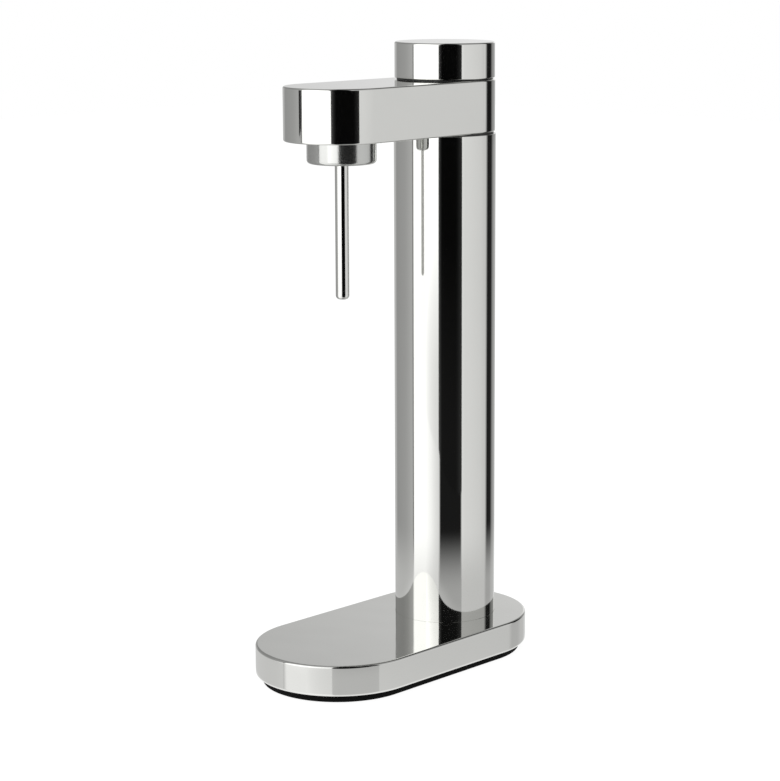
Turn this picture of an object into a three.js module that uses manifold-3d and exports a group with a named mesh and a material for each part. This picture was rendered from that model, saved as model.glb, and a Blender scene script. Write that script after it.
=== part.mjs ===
// A counter-top sparkling water maker in polished steel. A slim column stands on a long oval
// base and carries an overhead arm. The column hides a gas cylinder that loads from below, the
// arm carries gas to a nozzle over the bottle, and a sprung knob on top opens the gas valve.
// Units are millimetres and +Z is up. The origin is the centre of the footprint on the table,
// and the arm points along -Y.
import * as THREE from "three";
import { mergeVertices } from "three/addons/utils/BufferGeometryUtils.js";
import Module from "manifold-3d";

const wasm = await Module();
wasm.setup();

// Driving sizes, grouped by the piece that they belong to. The column's diameter sets the
// width of the head, the knob, the base and the gas cylinder, which line up with it.
const fit = { gap: 0.3, overrun: 1, weld: 0.0001 };
const layout = { endSpacing: 104, nozzleSetback: 5 };
const column = { diameter: 69, wall: 1.6, height: 333 };
const pad = { height: 5, inset: 4.7 };
const base = {
  overhang: 21.8,
  height: 20.6,
  wall: 2.4,
  topPlate: 3,
  topEdge: 1,
  lowerEdge: 2,
  bossRadius: 4,
  bossBore: 1.8,
  bossRoof: 1.6,
  bossInset: 8,
  bossDegrees: 25,
};
const weight = { thickness: 8, headPocket: 3.2, land: 1.6 };
const flange = { thickness: 3, breadth: 10 };
const guide = { height: 45, wall: 1.9, clearance: 0.7, flangeBreadth: 4.4, flangeThickness: 1.2 };
const cylinder = {
  wall: 2.6,
  floorGap: 6,
  shoulderHeight: 34,
  neckRadius: 14,
  neckHeight: 8,
  neckBore: 10,
  heel: 7,
  dent: 4,
};
const gasValve = {
  plugDepth: 14,
  plugBore: 2.5,
  bodyRadius: 12.5,
  bodyHeight: 26,
  shoulderGap: 2,
  threadRadius: 10.4,
  chamberRadius: 4.5,
  chamberHeight: 20,
  pinHole: 1.9,
  seatThickness: 8,
};
const gasPin = { radius: 1.6, recess: 0.4, poppetRadius: 3.6, poppetHeight: 3 };
const ring = { depth: 18.6, bodyClearance: 2, seamRecess: 0.9, screwInset: 4, screwDepth: 13 };
const head = { stepIn: 0.5, wall: 2, edge: 1.2, seam: 1.2, plate: 2 };
const headPost = { radius: 3.4, inset: 6, rearSetback: 47, frontGap: 1 };
const block = {
  bodyRadius: 17,
  bodyDepth: 23.8,
  socketRoof: 1.5,
  flangeInset: 2,
  flangeThickness: 3.5,
  bossWall: 1.3,
  wellDepth: 6.3,
  wellWall: 0.7,
  portRadius: 0.9,
};
const gasket = { thickness: 1.7, bore: 3.5 };
const stemSeal = { radius: 4.6, height: 2, floor: 1.4, roof: 0.6 };
const plunger = {
  tipRadius: 1.5,
  tipLength: 2.7,
  stemRadius: 2.6,
  discThickness: 2,
  earThickness: 2,
  earWidth: 3,
  earReach: 4.5,
};
const cam = {
  toothCount: 3,
  turnDegrees: 60,
  travel: 2.5,
  dropDegrees: 3,
  phaseDegrees: 2,
  innerClearance: 1,
  breadth: 3.2,
  plateRadius: 12,
  plateThickness: 1.7,
};
const spindle = { radius: 5, screwBore: 2.3 };
const bush = { sleeveRadius: 8, flangeRadius: 13, flangeThickness: 2.5, rise: 8.5 };
const bushNut = { radius: 12, thickness: 3 };
const knob = {
  stepIn: 0.2,
  height: 24,
  gap: 0.9,
  wall: 2,
  topPlate: 2.4,
  topEdge: 1.2,
  lowerEdge: 0.6,
  cavityRadius: 15,
  screwPocket: 8,
  pocketDepth: 5,
};
const glide = { width: 8.4, inset: 1.4 };
const knobWasher = { radius: 6.5, thickness: 1 };
const collar = {
  inset: 11.35,
  drop: 14.8,
  wall: 3.05,
  lowerEdge: 3,
  lip: 0.8,
  shoulder: 1.65,
  neckHeight: 6.2,
};
const collarNut = { breadth: 4.7, thickness: 3.5, notchCount: 6, notchWidth: 4, notchDepth: 2 };
const insert = {
  wall: 2.3,
  setback: 1,
  lugCount: 3,
  lugDegrees: 32,
  lugReach: 1.4,
  lugRise: 2,
  lugHeight: 3,
};
const mouthSeal = { breadth: 5.2, thickness: 2.2 };
const holder = { plugDepth: 9.3, rimSeat: 1.1, flangeThickness: 3 };
const tube = { diameter: 9, wall: 1.3, reach: 89 };
const tubeRing = { breadth: 2.7, thickness: 2 };
const tip = { height: 6, edge: 1.6, stubLength: 6, jet: 0.6 };
const elbow = {
  flangeRadius: 6.8,
  flangeThickness: 2.4,
  radius: 4.8,
  height: 8,
  stubLength: 8,
  portRadius: 1,
  nippleLength: 12,
};
const hose = { radius: 3.4, bore: 2.5, overlap: 6, straight: 4 };
const ferrule = { wall: 1, length: 6 };
const relief = {
  spacing: 1.1,
  radius: 4.6,
  inletRadius: 3.4,
  inletDepth: 3,
  seatRadius: 1.2,
  seatThickness: 1.5,
  chamberRadius: 2.6,
  chamberHeight: 9.5,
  feedRadius: 0.9,
};
const poppet = { radius: 2.2, height: 2.4, noseHeight: 1, noseRadius: 1 };
const reliefCap = { plugDepth: 1.6, thickness: 1.2, vent: 0.8 };
const baseScrew = { head: 4.6, headHeight: 3, shank: 1.5, length: 10, key: 2 };
const blockScrew = { head: 2.75, headHeight: 2.4, shank: 1.5, key: 1.4 };
const headScrew = { head: 2.6, headHeight: 1.3, shank: 1.25, length: 11, key: 0.9 };
const knobScrew = { head: 3.6, headHeight: 2.6, shank: 2, length: 9.5, key: 1.7 };
const plungerSpring = { radius: 4.4, wire: 0.45, turns: 5 };
const returnSpring = { radius: 10.6, wire: 0.5, turns: 3 };
const pinSpring = { radius: 3, wire: 0.4, turns: 6 };
const reliefSpring = { radius: 1.7, wire: 0.25, turns: 4 };

// How finely round shapes are cut.
const facets = { large: 40, medium: 24, small: 12, tiny: 8, hexagon: 6, edgeSteps: 2, domeSteps: 4 };
const coilSteps = { perTurn: 8, sides: 5 };
const hoseSteps = { length: 20, sides: 8 };

// Finishes.
const finish = (color, roughness, metalness) =>
  new THREE.MeshStandardMaterial({ color, roughness, metalness });
const materials = {
  polished: finish(0xd6d6d3, 0.06, 1),
  steel: finish(0xb4b6b8, 0.3, 1),
  iron: finish(0x3a3c3e, 0.6, 0.8),
  brass: finish(0xc8a04e, 0.25, 1),
  rubber: finish(0x141414, 0.8, 0),
  silicone: finish(0xd9d9d6, 0.6, 0),
  blackPlastic: finish(0x1b1c1d, 0.45, 0),
  whitePlastic: finish(0xe9e8e2, 0.4, 0),
  cylinderPaint: finish(0xa9aeb3, 0.35, 0.3),
  hose: finish(0xcfd3d4, 0.35, 0),
};

// Radii and places that follow from the driving sizes.
const degree = Math.PI / 180;
const columnY = layout.endSpacing / 2;
const nozzleY = layout.nozzleSetback - columnY;
const columnRadius = column.diameter / 2;
const columnBore = columnRadius - column.wall;
const baseRadius = columnRadius + base.overhang;
const headRadius = columnRadius - head.stepIn;
const knobRadius = headRadius - knob.stepIn;
const guideRadius = columnBore - fit.gap;
const guideBore = guideRadius - guide.wall;
const guideFlangeRadius = guideRadius + guide.flangeBreadth;
const cylinderRadius = guideBore - guide.clearance;
const socketRadius = gasValve.threadRadius + fit.gap;
const blockFlangeRadius = headRadius - head.wall - block.flangeInset;
const ringBore = block.bodyRadius + ring.bodyClearance;
const screwReach = blockFlangeRadius - ring.screwInset;
const camInner = spindle.radius + cam.innerClearance;
const camOuter = camInner + cam.breadth;
const bossRadius = camOuter + block.bossWall;
const wellRadius = camOuter - plunger.earThickness - block.wellWall;
const bushBore = spindle.radius + fit.gap;
const blockScrewHole = blockScrew.shank + fit.gap;
const headScrewHole = headScrew.shank + fit.gap;
const collarRadius = headRadius - collar.inset;
const collarBore = collarRadius - collar.wall;
const collarNeck = collarRadius - collar.shoulder;
const collarNutBore = collarNeck + fit.gap;
const collarNutRadius = collarNutBore + collarNut.breadth;
const insertRadius = collarBore - fit.gap;
const insertBore = insertRadius - insert.wall;
const mouthSealRadius = insertBore - fit.gap;
const mouthSealBore = mouthSealRadius - mouthSeal.breadth;
const holderRadius = collarBore + holder.rimSeat;
const nozzleRadius = tube.diameter / 2;
const tubeBore = nozzleRadius - tube.wall;
const stubRadius = tubeBore - fit.gap;
const nippleRadius = hose.bore - fit.gap;
const ferruleBore = hose.radius + fit.gap;
const ferruleRadius = ferruleBore + ferrule.wall;
const reliefOffset = elbow.flangeRadius + relief.radius + relief.spacing;
const feedOffset = mouthSealBore - relief.feedRadius - 2 * fit.gap;
const nippleReach = blockFlangeRadius + fit.gap + hose.overlap;
const hoseRear = columnY - nippleReach;
const hoseFront = nozzleY + elbow.radius + elbow.nippleLength;

// Levels from the table up to the knob.
const weightTop = pad.height + weight.thickness;
const pocketRoof = pad.height + weight.headPocket;
const landTop = pocketRoof + weight.land;
const bossEnd = landTop + fit.gap;
const baseTop = pad.height + base.height;
const baseCeiling = baseTop - base.topPlate;
const columnTop = baseTop + column.height;
const headBottom = columnTop + head.seam;
const plateTop = headBottom + head.plate;
const blockBottom = plateTop - block.bodyDepth;
const socketTop = plateTop - block.socketRoof;
const gasketTop = socketTop - fit.gap;
const gasketBottom = gasketTop - gasket.thickness;
const valveTop = gasketBottom - fit.gap;
const valveShoulder = blockBottom - gasValve.shoulderGap;
const neckTop = valveShoulder - gasValve.bodyHeight;
const shoulderTop = neckTop - cylinder.neckHeight;
const straightTop = shoulderTop - cylinder.shoulderHeight;
const valveSeat = valveTop - gasValve.seatThickness;
const valveLedge = valveSeat - gasValve.chamberHeight;
const pinTop = valveTop - gasPin.recess;
const pinShoulder = valveSeat - fit.gap;
const pinBottom = pinShoulder - gasPin.poppetHeight;
const blockFlangeTop = plateTop + block.flangeThickness;
const portLevel = plateTop + fit.gap + ferruleRadius;
const sealFloor = portLevel + block.portRadius + stemSeal.floor;
const sealRoof = sealFloor + stemSeal.height;
const wellFloor = sealRoof + stemSeal.roof;
const bossTop = wellFloor + block.wellDepth;
const plungerTip = pinTop + fit.gap;
const discBottom = bossTop + cam.travel + 2 * fit.gap;
const discTop = discBottom + plunger.discThickness;
const toothDegrees = 360 / cam.toothCount;
const climbDegrees = toothDegrees - cam.dropDegrees;
const toothRise = (cam.travel / cam.turnDegrees) * climbDegrees;
const lowerRampFloor = discTop + fit.gap;
const upperRampFloor = lowerRampFloor + fit.gap;
const camPlateBottom = upperRampFloor + toothRise;
const camPlateTop = camPlateBottom + cam.plateThickness;
const bushFlangeBottom = camPlateTop + fit.gap;
const headCeiling = bushFlangeBottom + bush.flangeThickness;
const headTop = headCeiling + head.wall;
const nutTop = headTop + bushNut.thickness;
const bushTop = headTop + bush.rise;
const knobBottom = headTop + knob.gap;
const knobTop = knobBottom + knob.height;
const coreFloor = knobBottom + fit.gap;
const coreTop = knobTop - knob.topPlate - fit.gap;
const cavityCeiling = bushTop + fit.gap;
const pocketFloor = coreTop - knob.pocketDepth;
const hexTop = pocketFloor - fit.gap;
const collarBottom = headBottom - collar.drop;
const collarRim = headBottom + collar.neckHeight;
const holderSeat = collarRim + fit.gap;
const holderTop = holderSeat + holder.flangeThickness;
const holderBottom = holderSeat - holder.plugDepth;
const underHolder = holderBottom - fit.gap;
const elbowBottom = holderTop + fit.gap;
const elbowFlangeTop = elbowBottom + elbow.flangeThickness;
const elbowPort = elbowFlangeTop + elbow.height / 2;
const tipLevel = collarBottom - tube.reach;
const tubeBottom = tipLevel + tip.height;
const seatLevel = holderTop + relief.inletDepth;
const chamberFloor = seatLevel + relief.seatThickness;
const reliefTop = chamberFloor + relief.chamberHeight;
const poppetBottom = chamberFloor + fit.gap;
const poppetTop = poppetBottom + poppet.height;
const reliefCapRim = reliefTop + fit.gap;
const reliefPlugBottom = reliefCapRim - reliefCap.plugDepth;

// A closed mesh as a solid that can be cut and joined.
function solid(geometry) {
  const bare = geometry.index ? geometry.toNonIndexed() : geometry.clone();
  bare.deleteAttribute("normal");
  bare.deleteAttribute("uv");
  const merged = mergeVertices(bare, fit.weld);
  const kept = [];
  for (let i = 0; i < merged.index.count; i += 3) {
    const [a, b, c] = [0, 1, 2].map((k) => merged.index.getX(i + k));
    if (a !== b && b !== c && c !== a) kept.push(a, b, c);
  }
  return new wasm.Manifold(
    new wasm.Mesh({
      numProp: 3,
      vertProperties: new Float32Array(merged.attributes.position.array),
      triVerts: new Uint32Array(kept),
    }),
  );
}

// A list of points and a list of corner numbers, three to a face, as a solid.
function faceted(points, faces) {
  const geometry = new THREE.BufferGeometry();
  geometry.setAttribute("position", new THREE.Float32BufferAttribute(points.flat(), 3));
  geometry.setIndex(faces);
  return solid(geometry);
}

// A solid as a three.js geometry with its normals.
function surface(shape) {
  const mesh = shape.getMesh();
  const geometry = new THREE.BufferGeometry();
  geometry.setAttribute("position", new THREE.BufferAttribute(mesh.vertProperties, 3));
  geometry.setIndex(new THREE.BufferAttribute(mesh.triVerts, 1));
  geometry.computeVertexNormals();
  return geometry;
}

const join = (first, ...others) => others.reduce((sum, other) => sum.add(other), first);
const cut = (first, ...tools) => tools.reduce((rest, tool) => rest.subtract(tool), first);
const at = (shape, x, y) => shape.translate([x, y, 0]);
const mirrored = (x, y) => [[-x, y], [x, y]];
const range = (count) => Array.from({ length: count }, (_, i) => i);

// A profile of [radius, height] points, turned about the Z axis.
function turned(profile, steps) {
  const points = profile.map(([radius, height]) => new THREE.Vector2(radius, height));
  return solid(new THREE.LatheGeometry(points, steps).rotateX(Math.PI / 2));
}

// A profile that doesn't reach the axis, turned about it and closed on its first point.
const turnedRing = (profile, steps) => turned([...profile, profile[0]], steps);

// A round bar from one height to another.
function bar(radius, bottom, top, steps) {
  return turned([[0, bottom], [radius, bottom], [radius, top], [0, top]], steps);
}

// A round cutter that runs past both heights.
const drill = (radius, bottom, top, steps) => bar(radius, bottom - fit.overrun, top + fit.overrun, steps);

// A round tube from one height to another.
function sleeve(bore, radius, bottom, top, steps) {
  return turnedRing([[bore, bottom], [radius, bottom], [radius, top], [bore, top]], steps);
}

// A bar that lies along Y.
function rodAlongY(radius, from, to, height, steps) {
  const rod = new THREE.CylinderGeometry(radius, radius, Math.abs(to - from), steps);
  return solid(rod.translate(0, (from + to) / 2, height));
}

// An upright box given by its middle, its size and its lowest and highest level.
function brick(x, width, depth, bottom, top) {
  const box = new THREE.BoxGeometry(width, depth, top - bottom);
  return solid(box.translate(x, 0, (bottom + top) / 2));
}

// The outline of a slot with round ends: two half circles about centres on the Y axis.
function slotOutline(radius, spacing, steps) {
  const half = range(steps / 2 + 1).map((i) => (2 * Math.PI * i) / steps);
  const rear = half.map((a) => [radius * Math.cos(a), spacing / 2 + radius * Math.sin(a)]);
  const front = half.map((a) => [-radius * Math.cos(a), -spacing / 2 - radius * Math.sin(a)]);
  return [...rear, ...front];
}

// A round-ended block whose outline is drawn in by an inset at each [inset, height] level.
function slotBlock(radius, levels) {
  const rings = levels.map(([inset, height]) => {
    const outline = slotOutline(radius - inset, layout.endSpacing, facets.large);
    return outline.map(([x, y]) => [x, y, height]);
  });
  const count = rings[0].length;
  const points = rings.flat();
  const faces = [];
  for (let level = 0; level + 1 < rings.length; level++) {
    for (let i = 0; i < count; i++) {
      const [a, b] = [level * count + i, level * count + ((i + 1) % count)];
      faces.push(a, b, b + count, a, b + count, a + count);
    }
  }
  const floor = points.push([0, 0, levels[0][1]]) - 1;
  const roof = points.push([0, 0, levels[levels.length - 1][1]]) - 1;
  const last = (rings.length - 1) * count;
  for (let i = 0; i < count; i++) {
    faces.push(floor, (i + 1) % count, i, roof, last + i, last + ((i + 1) % count));
  }
  return faceted(points, faces);
}

// A round-ended block with an upright wall, drawn in all round by one inset.
const slotSlab = (radius, inset, bottom, top) => slotBlock(radius, [[inset, bottom], [inset, top]]);

// The angles that divide a quarter turn into equal steps.
const quarterAngles = (steps) => range(steps + 1).map((i) => (i / steps) * (Math.PI / 2));

// The [inset, height] levels of a lower edge and of an upper edge, rounded to a radius.
const lowerRound = (bottom, edge) =>
  quarterAngles(facets.edgeSteps).map((a) => [edge * (1 - Math.sin(a)), bottom + edge * (1 - Math.cos(a))]);
const upperRound = (top, edge) =>
  quarterAngles(facets.edgeSteps).map((a) => [edge * (1 - Math.cos(a)), top - edge * (1 - Math.sin(a))]);

// Levels of insets as a profile of radii.
const asProfile = (radius, levels) => levels.map(([inset, height]) => [radius - inset, height]);

// A ring between two radii whose lower and upper faces rise and fall with the angle.
function wavyRing(inner, outer, angles, lowerAt, upperAt) {
  const points = angles.flatMap((angle) => {
    const [c, s] = [Math.cos(angle * degree), Math.sin(angle * degree)];
    const [low, high] = [lowerAt(angle), upperAt(angle)];
    return [
      [inner * c, inner * s, low],
      [outer * c, outer * s, low],
      [outer * c, outer * s, high],
      [inner * c, inner * s, high],
    ];
  });
  const faces = [];
  angles.forEach((_, i) => {
    const [here, next] = [4 * i, 4 * ((i + 1) % angles.length)];
    for (let side = 0; side < 4; side++) {
      const other = (side + 1) % 4;
      faces.push(here + side, next + side, next + other, here + side, next + other, here + other);
    }
  });
  return faceted(points, faces);
}

// A helix between two levels.
class Helix extends THREE.Curve {
  constructor(radius, bottom, top, turns) {
    super();
    Object.assign(this, { radius, bottom, top, turns });
  }
  getPoint(t, target = new THREE.Vector3()) {
    const angle = 2 * Math.PI * this.turns * t;
    const height = THREE.MathUtils.lerp(this.bottom, this.top, t);
    return target.set(this.radius * Math.cos(angle), this.radius * Math.sin(angle), height);
  }
}

// The corners of a regular outline.
const regular = (radius, sides) =>
  range(sides).map((i) => {
    const angle = (2 * Math.PI * i) / sides;
    return new THREE.Vector2(radius * Math.cos(angle), radius * Math.sin(angle));
  });

// A coil spring of round wire that fills the space between two levels.
function coil(spring, bottom, top) {
  const path = new Helix(spring.radius, bottom + spring.wire, top - spring.wire, spring.turns);
  const section = new THREE.Shape(regular(spring.wire, coilSteps.sides));
  const steps = spring.turns * coilSteps.perTurn;
  return solid(new THREE.ExtrudeGeometry(section, { extrudePath: path, steps }));
}

// A machine screw, head up, whose bearing face is at height zero.
function screw(size, length, sunk) {
  const shank = [[0, -length], [size.shank, -length], [size.shank, 0]];
  const rim = sunk ? [] : [[size.head, 0]];
  const crown = [[size.head, size.headHeight], [0, size.headHeight]];
  const key = bar(size.key, size.headHeight / 2, size.headHeight + fit.overrun, facets.hexagon);
  return cut(turned([...shank, ...rim, ...crown], facets.tiny), key);
}

// The base: foot pad, shell, weight, flange, guide and the places of its screws.
const bossReach = baseRadius - base.wall - base.bossInset;
const bossAngle = base.bossDegrees * degree;
const bosses = [
  ...mirrored(bossReach * Math.cos(bossAngle), -columnY - bossReach * Math.sin(bossAngle)),
  ...mirrored(bossReach, columnY - columnRadius - flange.breadth),
];

function footPad() {
  const outline = slotSlab(baseRadius, pad.inset, 0, pad.height);
  return cut(outline, at(drill(columnBore, 0, pad.height, facets.large), 0, columnY));
}

function baseShell() {
  const levels = [...lowerRound(pad.height, base.lowerEdge), ...upperRound(baseTop, base.topEdge)];
  const outer = slotBlock(baseRadius, levels);
  const hollow = slotSlab(baseRadius, base.wall, pad.height - fit.overrun, baseCeiling);
  const columnHole = drill(columnRadius + fit.gap, baseCeiling, baseTop, facets.large);
  const posts = bosses.map(([x, y]) => {
    const post = bar(base.bossRadius, bossEnd, baseCeiling + base.topPlate / 2, facets.small);
    const bore = bar(base.bossBore, bossEnd - fit.overrun, baseCeiling - base.bossRoof, facets.tiny);
    return at(cut(post, bore), x, y);
  });
  return join(cut(outer, hollow, at(columnHole, 0, columnY)), ...posts);
}

function baseWeight() {
  const slab = slotSlab(baseRadius, base.wall + fit.gap, pad.height, weightTop);
  const bore = drill(guideRadius + fit.gap, pad.height, weightTop, facets.large);
  const recessTop = pad.height + guide.flangeThickness + fit.gap;
  const recess = bar(guideFlangeRadius + fit.gap, 0, recessTop, facets.large);
  const holes = bosses.flatMap(([x, y]) => [
    at(bar(base.bossRadius + fit.gap, landTop, weightTop + fit.overrun, facets.small), x, y),
    at(drill(baseScrew.shank + fit.gap, pocketRoof, landTop, facets.tiny), x, y),
    at(bar(baseScrew.head + fit.gap, 0, pocketRoof, facets.small), x, y),
  ]);
  return cut(slab, at(bore, 0, columnY), at(recess, 0, columnY), ...holes);
}

function columnFlange() {
  const bore = columnRadius + fit.gap;
  return sleeve(bore, bore + flange.breadth, baseCeiling - flange.thickness, baseCeiling, facets.large);
}

function cylinderGuide() {
  const shoulder = pad.height + guide.flangeThickness;
  const top = pad.height + guide.height;
  return turnedRing(
    [
      [guideBore, pad.height],
      [guideFlangeRadius, pad.height],
      [guideFlangeRadius, shoulder],
      [guideRadius, shoulder],
      [guideRadius, top],
      [guideBore, top],
    ],
    facets.large,
  );
}

// The column, and the ring that carries the head and shows as the dark seam under it.
function columnTube() {
  return sleeve(columnBore, columnRadius, baseCeiling - flange.thickness, columnTop, facets.large);
}

const screwCircle = range(4).map((i) => {
  const angle = (Math.PI / 2) * (i + 1 / 2);
  return [screwReach * Math.cos(angle), screwReach * Math.sin(angle)];
});

function headRing() {
  const bottom = columnTop - ring.depth;
  const lip = headRadius - ring.seamRecess;
  const body = turnedRing(
    [
      [ringBore, bottom],
      [guideRadius, bottom],
      [guideRadius, columnTop],
      [lip, columnTop],
      [lip, headBottom],
      [ringBore, headBottom],
    ],
    facets.large,
  );
  const holes = screwCircle.map(([x, y]) => {
    const floor = columnTop - ring.screwDepth;
    return at(bar(blockScrewHole, floor, headBottom + fit.overrun, facets.tiny), x, y);
  });
  return cut(body, ...holes);
}

// The head: shell, bottom plate and the places of their screws.
const postReach = headRadius - head.wall - headPost.inset;
const postFoot = plateTop + fit.gap;
const headPosts = [
  ...mirrored(postReach, nozzleY + collarNutRadius + headPost.frontGap),
  ...mirrored(postReach, columnY - headPost.rearSetback),
];

function headShell() {
  const levels = [...lowerRound(headBottom, head.edge), ...upperRound(headTop, head.edge)];
  const outer = slotBlock(headRadius, levels);
  const hollow = slotSlab(headRadius, head.wall, headBottom - fit.overrun, headCeiling);
  const bushHole = drill(bush.sleeveRadius + fit.gap, headCeiling, headTop, facets.medium);
  const posts = headPosts.map(([x, y]) => {
    const post = bar(headPost.radius, postFoot, headCeiling + head.wall / 2, facets.small);
    const bore = bar(headScrewHole, postFoot - fit.overrun, postFoot + headScrew.length, facets.tiny);
    return at(cut(post, bore), x, y);
  });
  return join(cut(outer, hollow, at(bushHole, 0, columnY)), ...posts);
}

const sinkFloor = headBottom + fit.gap;
const sinkTop = sinkFloor + headScrew.headHeight;

function headPlate() {
  const sheet = slotSlab(headRadius, head.wall + fit.gap, headBottom, plateTop);
  const through = (radius, steps) => drill(radius, headBottom, plateTop, steps);
  const rim = headScrew.head + fit.gap;
  const sinks = headPosts.map(([x, y]) => {
    const mouth = bar(rim, headBottom - fit.overrun, sinkFloor, facets.tiny);
    const slope = [[0, sinkFloor], [rim, sinkFloor], [headScrewHole, sinkTop], [0, sinkTop]];
    return at(join(mouth, turned(slope, facets.tiny), through(headScrewHole, facets.tiny)), x, y);
  });
  const screwHoles = screwCircle.map(([x, y]) => at(through(blockScrewHole, facets.tiny), x, columnY + y));
  const blockHole = at(through(block.bodyRadius + fit.gap, facets.medium), 0, columnY);
  const collarHole = at(through(collarNeck + fit.gap, facets.large), 0, nozzleY);
  return cut(sheet, blockHole, collarHole, ...screwHoles, ...sinks);
}

// The valve block that the gas cylinder screws into, and what works in it.
function valveBlock() {
  const stemHole = plunger.stemRadius + fit.gap;
  const body = turnedRing(
    [
      [socketRadius, blockBottom],
      [block.bodyRadius, blockBottom],
      [block.bodyRadius, plateTop],
      [blockFlangeRadius, plateTop],
      [blockFlangeRadius, blockFlangeTop],
      [bossRadius, blockFlangeTop],
      [bossRadius, bossTop],
      [wellRadius, bossTop],
      [wellRadius, wellFloor],
      [stemHole, wellFloor],
      [stemHole, sealRoof],
      [stemSeal.radius, sealRoof],
      [stemSeal.radius, sealFloor],
      [stemHole, sealFloor],
      [stemHole, socketTop],
      [socketRadius, socketTop],
    ],
    facets.medium,
  );
  const nipple = rodAlongY(nippleRadius, -wellRadius, -nippleReach, portLevel, facets.tiny);
  const port = rodAlongY(block.portRadius, 0, -nippleReach - fit.overrun, portLevel, facets.tiny);
  const slotFloor = discBottom - plunger.earReach - cam.travel - fit.gap;
  const slotWidth = plunger.earWidth + 2 * fit.gap;
  const slot = brick(0, 2 * (bossRadius + fit.overrun), slotWidth, slotFloor, bossTop + fit.overrun);
  const holes = screwCircle.map(([x, y]) =>
    at(drill(blockScrewHole, plateTop, blockFlangeTop, facets.tiny), x, y),
  );
  return cut(join(body, nipple), port, slot, ...holes);
}

function socketGasket() {
  return sleeve(gasket.bore, socketRadius - fit.gap, gasketBottom, gasketTop, facets.small);
}

function plungerSeal() {
  const play = fit.gap / 2;
  const [bore, radius] = [plunger.stemRadius + play, stemSeal.radius - fit.gap];
  return sleeve(bore, radius, sealFloor + play, sealRoof - play, facets.small);
}

// The height of the saw-toothed ramps at an angle, above their lowest point.
function rampAt(angle) {
  const within = THREE.MathUtils.euclideanModulo(angle, toothDegrees);
  const share = within <= climbDegrees ? within / climbDegrees : (toothDegrees - within) / cam.dropDegrees;
  return toothRise * share;
}

// The angles at which the ramps have a corner, turned by a phase.
const rampAngles = (phase) =>
  range(cam.toothCount).flatMap((tooth) =>
    range(facets.tiny + 1).map((i) => phase + tooth * toothDegrees + (climbDegrees * i) / facets.tiny),
  );

function valvePlunger() {
  const { stemRadius, tipRadius, earThickness } = plunger;
  const shoulder = plungerTip + plunger.tipLength;
  const stem = turned(
    [
      [0, plungerTip],
      [tipRadius, plungerTip],
      [tipRadius, shoulder],
      [stemRadius, shoulder],
      [stemRadius, discBottom],
      [camOuter, discBottom],
      [camOuter, discTop],
      [0, discTop],
    ],
    facets.small,
  );
  const discMiddle = discTop - plunger.discThickness / 2;
  const upperAt = (angle) => lowerRampFloor + rampAt(angle);
  const ramps = wavyRing(camInner, camOuter, rampAngles(0), () => discMiddle, upperAt);
  const earMiddle = camOuter - earThickness / 2;
  const ears = [-earMiddle, earMiddle].map((x) =>
    brick(x, earThickness, plunger.earWidth, discBottom - plunger.earReach, discMiddle),
  );
  return join(stem, ramps, ...ears);
}

// The knob: a spindle with a face cam, what holds it, a core and a polished cap.
function camSpindle() {
  const shaft = bar(spindle.radius, upperRampFloor, bushTop, facets.small);
  const hex = bar(spindle.radius, bushTop - fit.overrun, hexTop, facets.hexagon);
  const plate = bar(cam.plateRadius, camPlateBottom, camPlateTop, facets.medium);
  const lowerAt = (angle) => upperRampFloor + rampAt(angle - cam.phaseDegrees);
  const plateMiddle = camPlateTop - cam.plateThickness / 2;
  const ramps = wavyRing(camInner, camOuter, rampAngles(cam.phaseDegrees), lowerAt, () => plateMiddle);
  const hole = drill(spindle.screwBore, pocketFloor - knobScrew.length, hexTop, facets.tiny);
  return cut(join(shaft, hex, plate, ramps), hole);
}

function spindleBush() {
  return turnedRing(
    [
      [bushBore, bushFlangeBottom],
      [bush.flangeRadius, bushFlangeBottom],
      [bush.flangeRadius, headCeiling],
      [bush.sleeveRadius, headCeiling],
      [bush.sleeveRadius, bushTop],
      [bushBore, bushTop],
    ],
    facets.small,
  );
}

function bushLocknut() {
  const nut = bar(bushNut.radius, headTop, nutTop, facets.hexagon);
  return cut(nut, drill(bush.sleeveRadius + fit.gap, headTop, nutTop, facets.small));
}

function glideRing() {
  const radius = knobRadius - glide.inset;
  return sleeve(radius - glide.width, radius, headTop, knobBottom - fit.gap, facets.large);
}

function knobCore() {
  const body = bar(knobRadius - knob.wall - fit.gap, coreFloor, coreTop, facets.large);
  const cavity = bar(knob.cavityRadius, coreFloor - fit.overrun, cavityCeiling, facets.medium);
  const hexHole = drill(spindle.radius + fit.gap, cavityCeiling, pocketFloor, facets.hexagon);
  const pocket = bar(knob.screwPocket, pocketFloor, coreTop + fit.overrun, facets.small);
  return cut(body, cavity, hexHole, pocket);
}

function knobCap() {
  const levels = [...lowerRound(knobBottom, knob.lowerEdge), ...upperRound(knobTop, knob.topEdge)];
  const outer = turned([[0, knobBottom], ...asProfile(knobRadius, levels), [0, knobTop]], facets.large);
  const bore = knobRadius - knob.wall;
  return cut(outer, bar(bore, knobBottom - fit.overrun, knobTop - knob.topPlate, facets.large));
}

function screwWasher() {
  const top = pocketFloor + knobWasher.thickness;
  return sleeve(knobScrew.shank + fit.gap, knobWasher.radius, pocketFloor, top, facets.small);
}

// The bottle socket and the nozzle.
function bottleCollar() {
  return turnedRing(
    [
      [collarBore, collarBottom + collar.lip],
      [collarBore + collar.lip, collarBottom],
      ...asProfile(collarRadius, lowerRound(collarBottom, collar.lowerEdge)),
      [collarRadius, headBottom],
      [collarNeck, headBottom],
      [collarNeck, collarRim],
      [collarBore, collarRim],
    ],
    facets.large,
  );
}

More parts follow.
